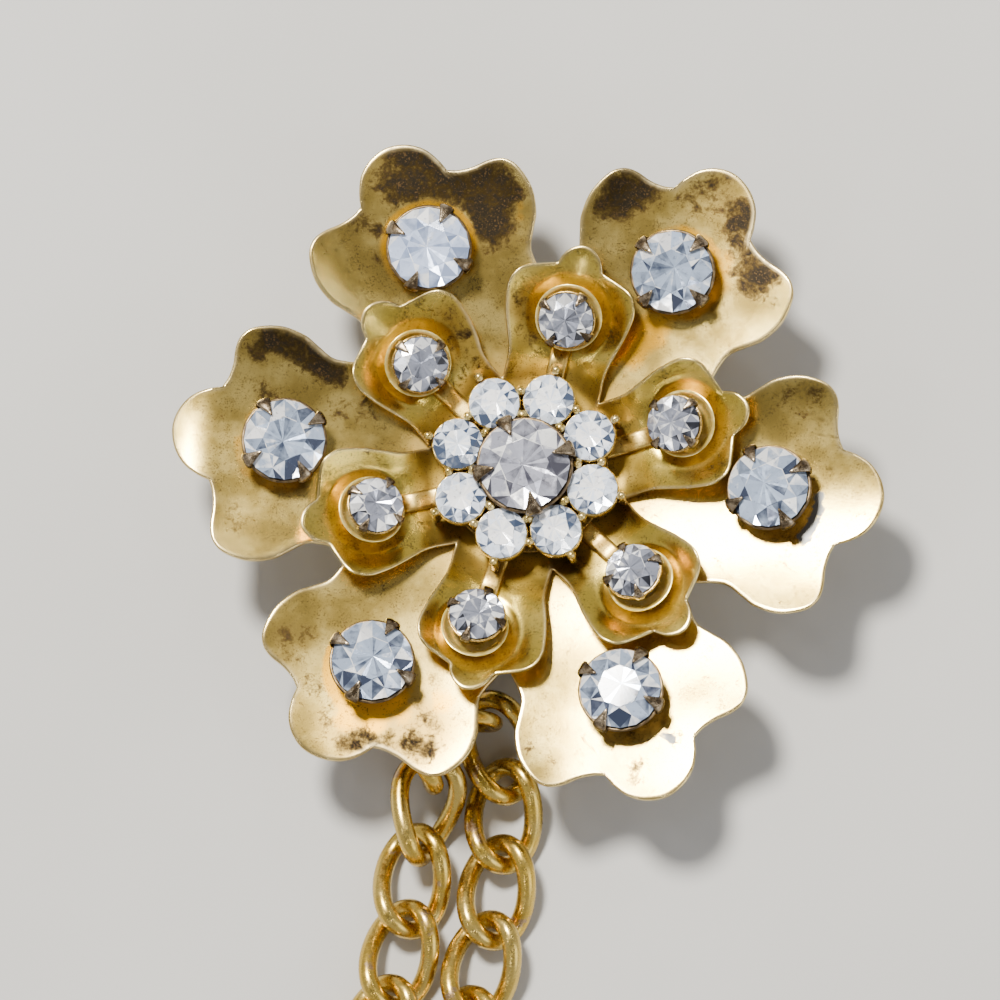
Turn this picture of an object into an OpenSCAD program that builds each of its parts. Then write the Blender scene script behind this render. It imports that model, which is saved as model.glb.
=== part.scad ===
// Sweater clip: a two-layer metal flower set with clear stones, on a spring clip, with two strands of chain.
// The flower's axis is Z, the clip rests on the plane z = 0, and the chain lies towards -Y.

/* [Petals] */
// Radius from the axis to the tip of an outer petal
outer_reach = 22.6; // [21:0.1:24]
// Rise of an outer petal for each millimetre outwards
outer_rise = 0.125; // [0.08:0.005:0.16]
// Height by which an outer petal's sides curl up
outer_curl = 0.55; // [0.2:0.05:0.8]
// Thickness of the outer petals' sheet
outer_sheet = 0.5; // [0.4:0.02:0.5]
// Radius from the axis to the tip of an inner petal
inner_reach = 14.8; // [14:0.1:15.5]
// Rise of an inner petal for each millimetre outwards
inner_rise = 0.32; // [0.3:0.005:0.34]
// Height by which an inner petal's sides curl up
inner_curl = 0.9; // [0.5:0.05:1.2]
// Depth of the round hollow pressed into each inner petal
hollow_depth = 0.5; // [0.4:0.05:0.55]
// Thickness of the inner petals' sheet
inner_sheet = 0.42; // [0.34:0.02:0.42]

/* [Stones] */
// Radius of a big stone, on the outer petals
big_stone_r = 2.57; // [2.3:0.01:2.7]
// Radius of a small stone, on the inner petals
small_stone_r = 1.75; // [1.5:0.01:1.85]
// Radius of each of the eight stones round the centre
cluster_stone_r = 1.6; // [1.4:0.01:1.62]
// Radius of the centre stone
centre_stone_r = 2.9; // [2.6:0.01:2.95]

/* [Chain] */
// Length of a chain link's middle line
link_len = 6.3; // [6.2:0.05:6.35]
// Width of a chain link's middle line
link_wid = 3.8; // [3.7:0.05:3.9]
// Diameter of the links' wire
link_wire = 1.2; // [1:0.05:1.2]
// Height by which a link's wire is twisted up and down
link_twist = 0.85; // [0.8:0.01:0.87]
// Radius of the jump ring's middle line
ring_r = 2.4; // [2.35:0.01:2.42]
// Diameter of the jump ring's wire
ring_wire = 0.95; // [0.8:0.05:0.95]

/* [Clip] */
// Width of the spring clip's strip
clip_wid = 10.4; // [10.4:0.1:12]
// Length of the clip's straight strips
clip_len = 22; // [21:0.25:22.5]
// Thickness of the clip's strip
clip_strip = 0.8; // [0.7:0.05:0.85]

/* [Hidden] */
PETALS = 6;
CLUSTER = 8;
LINKS = 5;
outer_turn = -6.8;
inner_turn = 14.4;
cluster_turn = 25.6;
nub_turn = 1.5;

// Heights of the layers, from the clip's upper strip to the centre stone's setting
clip_top = 5.2;
outer_top = 5.75;
inner_top = 6.35;
star_low = 6.5;
star_top = 6.92;
cluster_low = 6.97;
rivet_head_low = 7.37;
rivet_head_top = 7.67;
centre_low = 7.72;
hole_r = 1.3;
rivet_r = 1.15;

// The flat middles of the two sheets, and where each inner petal's hollow lies
outer_hub_r = 5;
inner_hub_r = 6;
hollow_at = [10.4, 0];

// Half a petal's greatest width as a share of its reach, by which the curl of its sides is measured
outer_half_wid = 0.327;
inner_half_wid = 0.284;

// How far the big cups stand off the outer petals, and the dishes off the hollows
cup_gap = 0.1;
dish_gap = 0.25;

// Seats on the outer petals, a row each: angle, radius, turn of the claws
BIG_SEATS = [
    [-5.4, 15.7, 27], [53, 15.75, 47], [113.4, 15.6, 65],
    [173.1, 15.6, 30], [231.9, 15.9, 62], [292.9, 15.7, 63]];
// Dishes on the inner petals, a row each: angle, radius, turn of the claws, shift of the cup inwards
SMALL_SEATS = [
    [15.6, 10.6, 45, 0.2], [74.3, 10.3, 52, 0], [135, 9.95, 48, 0],
    [194.5, 10.35, 60, 0], [252.2, 10.8, 67, 0.25], [315.3, 10.45, 20, 0.25]];
CENTRE_CLAWS = [20, 115, 192, 281];

// Half a petal's outline from the valley to the tip as shares of its reach, a row each: outwards, across
OUTER_HALF = [[0.469, 0.2545], [0.54, 0.2545], [0.584, 0.259], [0.628, 0.287], [0.668, 0.312],
    [0.735, 0.327], [0.805, 0.314], [0.84, 0.286], [0.853, 0.248], [0.854, 0.199], [0.862, 0.159],
    [0.876, 0.13], [0.911, 0.1195], [0.955, 0.095], [0.987, 0.053], [1, 0]];
outer_valley_r = 9.5;
outer_corner = 8;
outer_notch = 12;
INNER_HALF = [[0.419, 0.216], [0.464, 0.216], [0.514, 0.223], [0.574, 0.243], [0.635, 0.263],
    [0.69, 0.276], [0.765, 0.284], [0.825, 0.262], [0.86, 0.222], [0.885, 0.158], [0.905, 0.102],
    [0.955, 0.079], [0.988, 0.041], [1, 0]];
inner_valley_r = 6.4;
inner_corner = 8;
inner_notch = 11;

// Bends and stretches of each petal, a row each: turn, lengthening, widening at the left and at the right
OUTER_BENDS = [[1.7, 0.005, 0, 0.07], [1.6, 0.02, -0.06, 0.07], [0, 0, 0.015, 0.015],
    [-1.2, 0.005, 0.09, -0.035], [-1.8, 0, 0.14, -0.04], [-0.3, 0.005, 0.05, 0.03]];
INNER_BENDS = [[0.4, -0.01, 0, 0], [0.3, -0.01, 0, -0.02], [-0.3, -0.025, -0.04, 0.06],
    [0, -0.01, 0, 0], [0.5, -0.01, 0, -0.04], [-0.5, -0.015, -0.03, 0]];

// The chain's two strands, a row for each link: middle x, y, z, heading, slope, roll
LEFT_LINKS = [
    [-6.5, -16.4, 3.5, 5, 25, 59], [-6.65, -20.85, 2.55, -9, 13, 35], [-7.6, -25.3, 1.47, -6, 0, 0],
    [-8.4, -30.1, 1.47, -13, 0, 0], [-9.65, -34.85, 1.47, -16, 0, 0]];
RIGHT_LINKS = [
    [-2.1, -16.9, 2.1, 14, 13, 6], [-1.8, -21.2, 1.47, -3, 0, 0], [-2.25, -26.05, 1.47, -8, 0, 0],
    [-3.2, -30.85, 1.47, -14, 0, 0], [-4.45, -35.6, 1.47, -15, 0, 0]];
RING_AT = [-4.6, -15.1, 2.93];
ring_turn = -8;

$fn = 48;

GOLD = "goldenrod";
DARK = "dimgray";
CLEAR = "lightsteelblue";

function lerp(a, b, t) = a + (b - a) * t;
function polar(r, a) = [r * cos(a), r * sin(a)];
function turned(p, a) = [p[0] * cos(a) - p[1] * sin(a), p[0] * sin(a) + p[1] * cos(a)];
function mirrored(p) = [p[0], -p[1]];
function ramp(a, b, x) = let (t = min(1, max(0, (x - a) / (b - a)))) t * t * (3 - 2 * t);
// A smooth curve through points, x counting the points passed
function spline(p, x) =
    let (n = len(p) - 1, i = min(floor(x), n - 1), t = x - i,
        a = p[max(i - 1, 0)], b = p[i], c = p[i + 1], d = p[min(i + 2, n)])
    (2 * b + (c - a) * t + (2 * a - 5 * b + 4 * c - d) * t * t + (3 * b - a - 3 * c + d) * t * t * t) / 2;

// Height of a sheet's upper face at a point given in its petal's own frame, x outwards along the petal
function outer_height(p) =
    let (r = norm(p))
    outer_top + outer_rise * max(0, r - outer_hub_r)
        + outer_curl * pow(p[1] / (outer_half_wid * outer_reach), 2) * ramp(outer_hub_r, 12, r);
function inner_height(p) =
    let (r = norm(p))
    inner_top + inner_rise * max(0, r - inner_hub_r)
        + inner_curl * pow(p[1] / (inner_half_wid * inner_reach), 2) * ramp(5, 9, r)
        - hollow_depth * (1 - ramp(2.3, 3.4, norm(p - hollow_at))) * ramp(7.2, 10, r);

// A pressed sheet of petals round a hub: rings from the hole to the valleys, then a patch for each petal.
// half, corner and notch: half an outline without its valley, and where its end and its notch begin.
// rings: radii, cols and rows: steps across and along a petal, bends: a row for each petal.
module petal_sheet(half, corner, notch, rings, cols, rows, thickness, bends, which) {
    last_ring = len(rings) - 1;
    valley_r = rings[last_ring];
    wedge = 180 / PETALS;
    edge = concat([polar(valley_r, wedge)], half);
    tip = len(edge) - 1;
    flank = [for (i = [0:notch]) edge[i]];
    lobe = concat([for (i = [notch:tip]) edge[i]], [for (i = [tip - 1:-1:notch]) mirrored(edge[i])]);
    ring_count = PETALS * cols;
    total = len(rings) * ring_count + PETALS * rows * (cols + 1);

    function valley(s) = polar(valley_r, lerp(-wedge, wedge, s));
    function side(t) = spline(flank, corner * t);
    function end(s) =
        let (x = 2 * (tip - corner) * s, y = 2 * (tip - corner) - x)
        x < notch - corner ? mirrored(spline(flank, corner + x))
            : y < notch - corner ? spline(flank, corner + y) : mirrored(spline(lobe, x - notch + corner));
    // A petal's patch blends its four border lines: valley, end and both sides
    function patch(s, t) =
        lerp(valley(s), end(s), t) + lerp(mirrored(side(t)), side(t), s)
            - lerp(lerp(valley(0), valley(1), s), lerp(end(0), end(1), s), t);
    function height(p) = which == "outer" ? outer_height(p) : inner_height(p);
    function bent(p, bend) =
        let (w = ramp(valley_r, valley_r + 3.5, norm(p)))
        turned([p[0] * (1 + bend[1] * w), p[1] * (1 + bend[p[1] > 0 ? 2 : 3] * w)], bend[0] * w);
    function placed(p, k, drop) =
        concat(turned(bent(p, bends[k]), 2 * wedge * k), [height(p) - drop]);
    function index(k, i, j) = i <= last_ring
        ? i * ring_count + (k * cols + j) % ring_count
        : len(rings) * ring_count + (k * rows + i - last_ring - 1) * (cols + 1) + j;
    function layer(drop) = concat(
        [for (r = rings) for (k = [0:PETALS - 1]) for (j = [0:cols - 1])
            placed(polar(r, lerp(-wedge, wedge, j / cols)), k, drop)],
        [for (k = [0:PETALS - 1]) for (i = [1:rows]) for (j = [0:cols])
            placed(patch(j / cols, i / rows), k, drop)]);
    function quad(a, b, c, d) = [[a, b, c], [a, c, d]];
    function wall(a, b) = quad(a, a + total, b + total, b);
    top = last_ring + rows;
    faces = [for (k = [0:PETALS - 1]) each concat(
        [for (i = [0:top - 1]) for (j = [0:cols - 1]) each quad(
            index(k, i, j), index(k, i, j + 1), index(k, i + 1, j + 1), index(k, i + 1, j))],
        [for (i = [0:top - 1]) for (j = [0:cols - 1]) each quad(
            total + index(k, i, j), total + index(k, i + 1, j),
            total + index(k, i + 1, j + 1), total + index(k, i, j + 1))],
        [for (j = [0:cols - 1]) each wall(index(k, 0, j), index(k, 0, j + 1))],
        [for (j = [0:cols - 1]) each wall(index(k, top, j + 1), index(k, top, j))],
        [for (i = [last_ring:top - 1]) each wall(index(k, i, cols), index(k, i + 1, cols))],
        [for (i = [last_ring:top - 1]) each wall(index(k, i + 1, 0), index(k, i, 0))])];
    polyhedron(points = concat(layer(0), layer(thickness)), faces = faces);
}

module outer_petals() {
    color(GOLD) rotate([0, 0, outer_turn])
        petal_sheet(outer_reach * OUTER_HALF, outer_corner, outer_notch,
            [hole_r, outer_hub_r, 7.3, outer_valley_r], 24, 6, outer_sheet, OUTER_BENDS, "outer");
}

module inner_petals() {
    color(GOLD) rotate([0, 0, inner_turn])
        petal_sheet(inner_reach * INNER_HALF, inner_corner, inner_notch,
            [hole_r, inner_hub_r, inner_valley_r], 20, 8, inner_sheet, INNER_BENDS, "inner");
}

// Moves what it holds to a seat on a sheet, upright to the slope there
module on_seat(seat, height, slope) {
    rotate([0, 0, seat[0]]) translate([seat[1], 0, height])
        rotate([0, -slope, 0]) rotate([0, 0, -seat[0]]) children();
}
outer_slope = atan(outer_rise);
inner_slope = atan(inner_rise);
function big_seat_height(seat) = outer_top + outer_rise * (seat[1] - outer_hub_r) + cup_gap;
function dish_height(seat) = inner_top + inner_rise * (seat[1] - inner_hub_r) - hollow_depth + dish_gap;

// A stone's outline and its cup's are drawn for a radius of 2.57 and scaled
drawn_r = 2.57;
girdle_low = 2.03;
girdle_high = 2.18;
table_z = 2.8;
table_r = 1.38;
culet_z = 0.75;

// A cut stone: an eight-sided table, 24 crown facets, a girdle and 16 facets to the culet
module stone(r) {
    n = 16;
    function edge(z) = [for (i = [0:n - 1]) concat(polar(drawn_r, 360 * i / n), [z])];
    points = concat(
        [for (i = [0:n / 2 - 1]) concat(polar(table_r, 720 * i / n), [table_z])],
        edge(girdle_high), edge(girdle_low), [[0, 0, culet_z]]);
    culet = len(points) - 1;
    function tbl(i) = i % 8;
    function up(i) = 8 + (i + n) % n;
    function low(i) = 24 + (i + n) % n;
    faces = concat(
        [[for (i = [7:-1:0]) i]],
        [for (i = [0:7]) each [
            [tbl(i), up(2 * i), up(2 * i - 1)], [tbl(i), up(2 * i + 1), up(2 * i)],
            [tbl(i), tbl(i + 1), up(2 * i + 1)]]],
        [for (i = [0:n - 1]) each [[up(i), up(i + 1), low(i + 1)], [up(i), low(i + 1), low(i)]]],
        [for (i = [0:n - 1]) [low(i), low(i + 1), culet]]);
    color(CLEAR) scale(r / drawn_r) polyhedron(points = points, faces = faces);
}

function quarter_turns(turn) = [for (k = [0:3]) turn + 90 * k];

// A dished cup with pointed claws, at the angles given, bent over the stone's edge
module claw_cup(r, claws) {
    color(DARK) scale(r / drawn_r) {
        rotate_extrude() polygon([[0, 0], [1.7, 0], [2.3, 0.9], [2.45, 1.3], [2.72, 1.7],
            [2.72, 1.93], [2.48, 1.93], [2.45, 1.75], [2.2, 1.35], [2.05, 0.95], [1.5, 0.3], [0, 0.3]]);
        intersection() {
            rotate_extrude() polygon([[2.65, 1.65], [2.8, 1.62], [2.95, 1.75], [2.95, 2.32], [2.75, 2.52],
                [1.7, 2.98], [1.7, 2.8], [2.6, 2.38], [2.65, 2.3]]);
            for (a = claws) rotate([0, 0, a])
                linear_extrude(4) polygon([[1.6, -0.08], [3.1, -0.55], [3.1, 0.55], [1.6, 0.08]]);
        }
    }
}

module big_setting(i) {
    seat = BIG_SEATS[i];
    on_seat(seat, big_seat_height(seat), outer_slope) claw_cup(big_stone_r, quarter_turns(seat[2]));
}

module big_stone(i) {
    seat = BIG_SEATS[i];
    on_seat(seat, big_seat_height(seat), outer_slope) stone(big_stone_r);
}

// The small cups stand on a short foot in the star's dishes
dish_floor = 0.3;
foot_r = 0.75;
foot_gap = 0.05;
cup_lift = 0.7;
function cup_shift(seat) = concat(polar(-seat[3], seat[0]), [0]);

module small_setting(i) {
    seat = SMALL_SEATS[i];
    on_seat(seat, dish_height(seat), inner_slope) translate(cup_shift(seat)) {
        color(DARK) translate([0, 0, dish_floor + foot_gap]) cylinder(r = foot_r, h = cup_lift - dish_floor);
        translate([0, 0, cup_lift]) claw_cup(small_stone_r, quarter_turns(seat[2]));
    }
}

module small_stone(i) {
    seat = SMALL_SEATS[i];
    on_seat(seat, dish_height(seat), inner_slope)
        translate(cup_shift(seat) + [0, 0, cup_lift]) stone(small_stone_r);
}

// Six flat arms that rise from a hub, each with a round dish at its end
star_hub_r = 4.2;
arm_wid = 1.4;
arm_bend_r = 6.2;
arm_root_r = 3.6;
arm_inset = 0.02;

module spoke_star() {
    color(GOLD) {
        difference() {
            translate([0, 0, star_low]) cylinder(r = star_hub_r, h = star_top - star_low);
            translate([0, 0, star_low - 1]) cylinder(r = hole_r, h = 3);
        }
        for (seat = SMALL_SEATS) {
            end_r = seat[1] - 2;
            low = star_low + arm_inset;
            high = star_top - arm_inset;
            rise = inner_rise * (end_r - arm_bend_r);
            rotate([0, 0, seat[0]]) rotate([90, 0, 0]) translate([0, 0, -arm_wid / 2])
                linear_extrude(arm_wid) polygon([
                    [arm_root_r, low], [arm_bend_r, low], [end_r, low + rise],
                    [end_r, high + rise], [arm_bend_r, high], [arm_root_r, high]]);
            on_seat(seat, dish_height(seat), inner_slope)
                rotate_extrude() polygon([[0, 0], [1.1, 0], [1.8, 0.25], [2.18, 0.95],
                    [1.95, 0.95], [1.6, 0.5], [1.0, dish_floor], [0, dish_floor]]);
        }
    }
}

// The cast ring round the centre: eight cups, beads between the stones and a nub outside each
cluster_r = 4.5;
cup_wall_r = 1.68;
cup_h = 2.1;
plate_h = 0.35;
plate_r = 5.2;
seat_low = 0.6;
nub_foot = 0.25;
nub_r = 6.42;
stone_lift = 0.09;

module bead_post(r, a, post_r, bead_r, h) {
    rotate([0, 0, a]) translate([r, 0, 0]) {
        cylinder(r = post_r, h = h);
        translate([0, 0, h]) sphere(r = bead_r);
    }
}

module cluster_setting() {
    step = 360 / CLUSTER;
    color(GOLD) translate([0, 0, cluster_low]) {
        difference() {
            union() {
                cylinder(r = plate_r, h = plate_h);
                for (k = [0:CLUSTER - 1]) rotate([0, 0, cluster_turn + step * k])
                    translate([cluster_r, 0, 0]) cylinder(r = cup_wall_r, h = cup_h);
            }
            translate([0, 0, -1]) cylinder(r = 1.5, h = 3);
            for (k = [0:CLUSTER - 1]) rotate([0, 0, cluster_turn + step * k])
                translate([cluster_r, 0, seat_low])
                    cylinder(r1 = 0.7, r2 = cluster_stone_r - 0.07, h = cup_h - seat_low + 0.001);
        }
        for (k = [0:CLUSTER - 1]) {
            rotate([0, 0, cluster_turn + nub_turn + step * k]) translate([0, 0, nub_foot]) {
                bead_post(nub_r, 0, 0.24, 0.3, cup_h + 0.45 - nub_foot);
                translate([cluster_r + cup_wall_r - 0.1, -0.24, 0]) cube([0.6, 0.48, 0.5]);
            }
            bead_post(3.3, cluster_turn + step * (k + 0.5), 0.25, 0.29, cup_h + 0.2);
            bead_post(4.85, cluster_turn + step * (k + 0.5), 0.2, 0.24, cup_h + 0.35);
        }
    }
}

module cluster_stone(i) {
    size = cluster_stone_r / drawn_r;
    rotate([0, 0, cluster_turn + 360 / CLUSTER * i])
        translate([cluster_r, 0, cluster_low + cup_h + stone_lift - girdle_low * size]) stone(cluster_stone_r);
}

module centre_setting() {
    translate([0, 0, centre_low]) claw_cup(centre_stone_r, CENTRE_CLAWS);
}

module centre_stone() {
    translate([0, 0, centre_low]) stone(centre_stone_r);
}

// A plain rivet through the clip and every layer of the flower
rivet_foot_low = 3.85;

module centre_rivet() {
    low_head = 0.5;
    color(GOLD) {
        translate([0, 0, rivet_foot_low]) cylinder(r = 2, h = low_head);
        translate([0, 0, rivet_foot_low + 0.1]) cylinder(r = rivet_r, h = rivet_head_top - rivet_foot_low - 0.2);
        translate([0, 0, rivet_head_low]) cylinder(r = 2, h = rivet_head_top - rivet_head_low);
    }
}

// A strip bent into a long jaw, with an upturned lip, and an eye on its upper strip for the ring
eye_r = 1.25;
eye_hole_r = 0.65;
lug_wid = 0.8;

module back_clip() {
    near = -11.2;
    far = near + clip_len;
    mid_z = clip_top / 2;
    lip = 1.1;
    function bend(r, from, to) = [for (k = [0:10]) [far, mid_z] + polar(r, lerp(from, to, k / 10))];
    profile = concat(
        [[near - 0.5, lip + 0.8], [near - 0.8, lip], [near + 0.3, 0]],
        bend(mid_z, -90, 90),
        [[near + 0.6, clip_top], [near + 0.6, clip_top - clip_strip]],
        bend(mid_z - clip_strip, 90, -90),
        [[near + 0.7, clip_strip]]);
    color("silver") {
        difference() {
            translate([-clip_wid / 2, 0, 0]) rotate([90, 0, 90]) linear_extrude(clip_wid) polygon(profile);
            translate([0, 0, 2]) cylinder(r = hole_r, h = 4);
        }
        difference() {
            union() {
                translate([RING_AT[0] - lug_wid / 2, RING_AT[1], clip_top - 0.75])
                    cube([lug_wid, near - RING_AT[1] + 2, 0.7]);
                translate([RING_AT[0] - lug_wid / 2, RING_AT[1], RING_AT[2] + ring_r])
                    rotate([0, 90, 0]) cylinder(r = eye_r, h = lug_wid);
            }
            translate([RING_AT[0] - lug_wid, RING_AT[1], RING_AT[2] + ring_r])
                rotate([0, 90, 0]) cylinder(r = eye_hole_r, h = 2 * lug_wid);
        }
    }
}

module jump_ring() {
    color(GOLD) translate(RING_AT) rotate([90, 0, ring_turn])
        rotate_extrude() translate([ring_r, 0]) circle(d = ring_wire);
}

// One oval link whose wire rises and falls twice on its way round, so that each link lies flat
module chain_link(place) {
    steps = 16;
    sides = 6;
    function middle(t) = [link_wid / 2 * cos(t), link_len / 2 * sin(t), link_twist * sin(2 * t)];
    function way(t) = [-link_wid / 2 * sin(t), link_len / 2 * cos(t), 2 * link_twist * cos(2 * t)];
    function unit(v) = v / norm(v);
    function around(t, a) =
        let (side = unit(cross(way(t), [0, 0, 1])), over = unit(cross(side, way(t))))
        middle(t) + link_wire / 2 * (cos(a) * side + sin(a) * over);
    points = [for (i = [0:steps - 1]) for (j = [0:sides - 1]) around(360 * i / steps, 360 * j / sides)];
    function id(i, j) = (i % steps) * sides + j % sides;
    faces = [for (i = [0:steps - 1]) for (j = [0:sides - 1]) each [
        [id(i, j), id(i + 1, j + 1), id(i + 1, j)], [id(i, j), id(i, j + 1), id(i + 1, j + 1)]]];
    color(GOLD) translate([place[0], place[1], place[2]]) rotate([0, 0, place[3]])
        rotate([place[4], 0, 0]) rotate([0, place[5], 0]) polyhedron(points = points, faces = faces);
}

back_clip();
centre_rivet();
outer_petals();
inner_petals();
spoke_star();
cluster_setting();
centre_setting();
centre_stone();
jump_ring();
for (i = [1:PETALS]) big_setting(i - 1);
for (i = [1:PETALS]) big_stone(i - 1);
for (i = [1:PETALS]) small_setting(i - 1);
for (i = [1:PETALS]) small_stone(i - 1);
for (i = [1:CLUSTER]) cluster_stone(i - 1);
for (i = [1:LINKS]) chain_link(LEFT_LINKS[i - 1]);
for (i = [1:LINKS]) chain_link(RIGHT_LINKS[i - 1]);
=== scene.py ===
import math
import random

import bmesh
import bpy
from mathutils import Matrix, Vector, kdtree, noise


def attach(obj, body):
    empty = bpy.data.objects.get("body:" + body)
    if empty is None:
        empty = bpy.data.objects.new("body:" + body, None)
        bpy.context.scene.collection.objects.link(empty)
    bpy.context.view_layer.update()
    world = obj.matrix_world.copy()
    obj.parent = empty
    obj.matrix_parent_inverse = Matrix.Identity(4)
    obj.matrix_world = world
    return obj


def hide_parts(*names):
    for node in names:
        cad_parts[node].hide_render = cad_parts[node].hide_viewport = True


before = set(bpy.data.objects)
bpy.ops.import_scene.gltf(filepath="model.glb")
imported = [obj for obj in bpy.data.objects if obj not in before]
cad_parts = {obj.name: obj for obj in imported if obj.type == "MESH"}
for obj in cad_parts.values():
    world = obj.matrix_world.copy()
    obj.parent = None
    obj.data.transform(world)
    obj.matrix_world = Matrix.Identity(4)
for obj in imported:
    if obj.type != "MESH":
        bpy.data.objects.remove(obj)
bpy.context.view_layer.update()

MM = 0.001
PETALS = 6
CLUSTER = 8
scene = bpy.context.scene


def in_scene(name, data):
    """A new object, linked to the scene"""
    obj = bpy.data.objects.new(name, data)
    scene.collection.objects.link(obj)
    return obj


# Camera: nearly straight down on the flower, leaning a little towards the chain and the right
FRAME_WIDTH = 63.0
CAMERA_AWAY = 900.0
AIM = Vector((-1.51, -2.33, 10.5))
TOWARDS_CAMERA = Vector((0.057, -0.156, 0.986)).normalized()


def make_camera():
    data = bpy.data.cameras.new("camera")
    data.lens = data.sensor_width / FRAME_WIDTH * CAMERA_AWAY
    data.clip_start = 0.01
    data.clip_end = 20.0
    camera = in_scene("camera", data)
    right = Vector((0, 1, 0)).cross(TOWARDS_CAMERA).normalized()
    upwards = TOWARDS_CAMERA.cross(right)
    turn = Matrix((right, upwards, TOWARDS_CAMERA)).transposed().to_4x4()
    camera.matrix_world = Matrix.Translation((AIM + TOWARDS_CAMERA * CAMERA_AWAY) * MM) @ turn
    scene.camera = camera


make_camera()


# Flat shapes: points, curves and turns in millimetres and degrees
def lerp(a, b, t):
    return a + (b - a) * t


def polar(r, degrees):
    return Vector((r * math.cos(math.radians(degrees)), r * math.sin(math.radians(degrees))))


def turned(p, degrees):
    c = math.cos(math.radians(degrees))
    s = math.sin(math.radians(degrees))
    return Vector((p.x * c - p.y * s, p.x * s + p.y * c))


def mirrored(p):
    """The point on the other side of the X axis"""
    return Vector((p.x, -p.y))


def ramp(a, b, x):
    """Goes smoothly from 0 at a to 1 at b"""
    t = min(1.0, max(0.0, (x - a) / (b - a)))
    return t * t * (3 - 2 * t)


def spline(points, x):
    """A smooth curve through points, x counting the points passed"""
    last = len(points) - 1
    i = min(int(x), last - 1)
    t = x - i
    a = points[max(i - 1, 0)]
    b = points[i]
    c = points[i + 1]
    d = points[min(i + 2, last)]
    return (2 * b + (c - a) * t + (2 * a - 5 * b + 4 * c - d) * t ** 2 + (3 * b - a - 3 * c + d) * t ** 3) / 2


def spin(axis, degrees):
    return Matrix.Rotation(math.radians(degrees), 4, axis)


def shift(x, y, z):
    return Matrix.Translation(Vector((x, y, z)))


# Node trees
class NodeTree:
    """Short calls for the nodes of a tree"""

    def __init__(self, tree):
        self.tree = tree

    def feed(self, socket, value):
        if isinstance(value, bpy.types.NodeSocket):
            self.tree.links.new(value, socket)
        else:
            socket.default_value = value

    def node(self, kind, settings=(), **inputs):
        node = self.tree.nodes.new(kind)
        for title, value in settings:
            setattr(node, title, value)
        for title, value in inputs.items():
            self.feed(node.inputs[title.replace("_", " ")], value)
        return node

    def maths(self, kind, a, b=0.0):
        node = self.node("ShaderNodeMath", [("operation", kind)])
        self.feed(node.inputs[0], a)
        self.feed(node.inputs[1], b)
        return node.outputs[0]

    def between(self, value, low, high, to_low, to_high):
        """Goes smoothly from one result to another while a value goes from low to high"""
        node = self.node("ShaderNodeMapRange", [("interpolation_type", "SMOOTHSTEP")], Value=value,
                         From_Min=low, From_Max=high, To_Min=to_low, To_Max=to_high)
        return node.outputs[0]


class Finish(NodeTree):
    """A material and the nodes that colour it"""

    def __init__(self, name):
        self.material = bpy.data.materials.new(name)
        self.material.use_nodes = True
        super().__init__(self.material.node_tree)
        self.shader = self.tree.nodes["Principled BSDF"]
        self.place = self.node("ShaderNodeTexCoord").outputs["Object"]

    def added(self, *values):
        total = values[0]
        for value in values[1:]:
            total = self.maths("ADD", total, value)
        return total

    def times(self, value, by):
        return self.maths("MULTIPLY", value, by)

    def sway(self, cloud, by):
        """How far a noise is off its middle value, made larger or smaller"""
        return self.times(self.maths("SUBTRACT", cloud, 0.5), by)

    def cover(self, value, start, full, most=1.0):
        """A share that grows from nothing to its most while a value goes from start to full"""
        return self.between(value, start, full, 0.0, most)

    def clouds(self, size, detail, roughness, distortion=0.0, stretch=(1, 1, 1)):
        """Soft noise with features of a size in millimetres"""
        where = self.node("ShaderNodeMapping", Vector=self.place, Scale=stretch)
        made = self.node("ShaderNodeTexNoise", Vector=where.outputs[0], Scale=1 / (size * MM), Detail=detail,
                         Roughness=roughness, Distortion=distortion)
        return made.outputs["Fac"]

    def mixed(self, share, a, b):
        node = self.node("ShaderNodeMix", [("data_type", "RGBA")])
        self.feed(node.inputs[0], share)
        self.feed(node.inputs[6], a if isinstance(a, bpy.types.NodeSocket) else (*a, 1))
        self.feed(node.inputs[7], b if isinstance(b, bpy.types.NodeSocket) else (*b, 1))
        return node.outputs[2]

    def fact(self, name, output="Fac"):
        """A number or direction that the mesh stores by name"""
        return self.node("ShaderNodeAttribute", [("attribute_name", name)]).outputs[output]

    def bump(self, height, strength, depth):
        return self.node("ShaderNodeBump", Strength=strength, Distance=depth * MM, Height=height).outputs[0]

    def set(self, **sockets):
        for title, value in sockets.items():
            self.feed(self.shader.inputs[title.replace("_", " ")], value)
        return self.material


BRASS = (0.62, 0.435, 0.105)
PALE_BRASS = (0.72, 0.55, 0.175)
YELLOW_BRASS = (0.63, 0.455, 0.068)
PALE_YELLOW = (0.75, 0.565, 0.13)
RIM_HIGHLIGHT = (0.80, 0.64, 0.33)
FRECKLE = (0.30, 0.205, 0.056)
DEEP_SHADE = (0.27, 0.155, 0.03)
ORANGE_TINT_AND_GLOW = (0.85, 0.43, 0.012)
OLIVE = (0.17, 0.115, 0.036)
UMBER = (0.036, 0.022, 0.008)
BROWN = (0.010, 0.007, 0.003)
DOT = (0.10, 0.055, 0.018)
SCRATCH = (0.20, 0.125, 0.035)
SOLDER = (0.15, 0.15, 0.145)
# Three depths of tarnish, a row each: sway of the patches and of the broad cloud, start, full, most, colour
TARNISH = [
    (0.55, -0.8, 0.10, 0.62, 0.9, OLIVE), (0.65, 0.0, 0.22, 0.85, 0.94, UMBER),
    (1.0, 0.0, 0.55, 1.10, 0.97, BROWN)]


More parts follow.
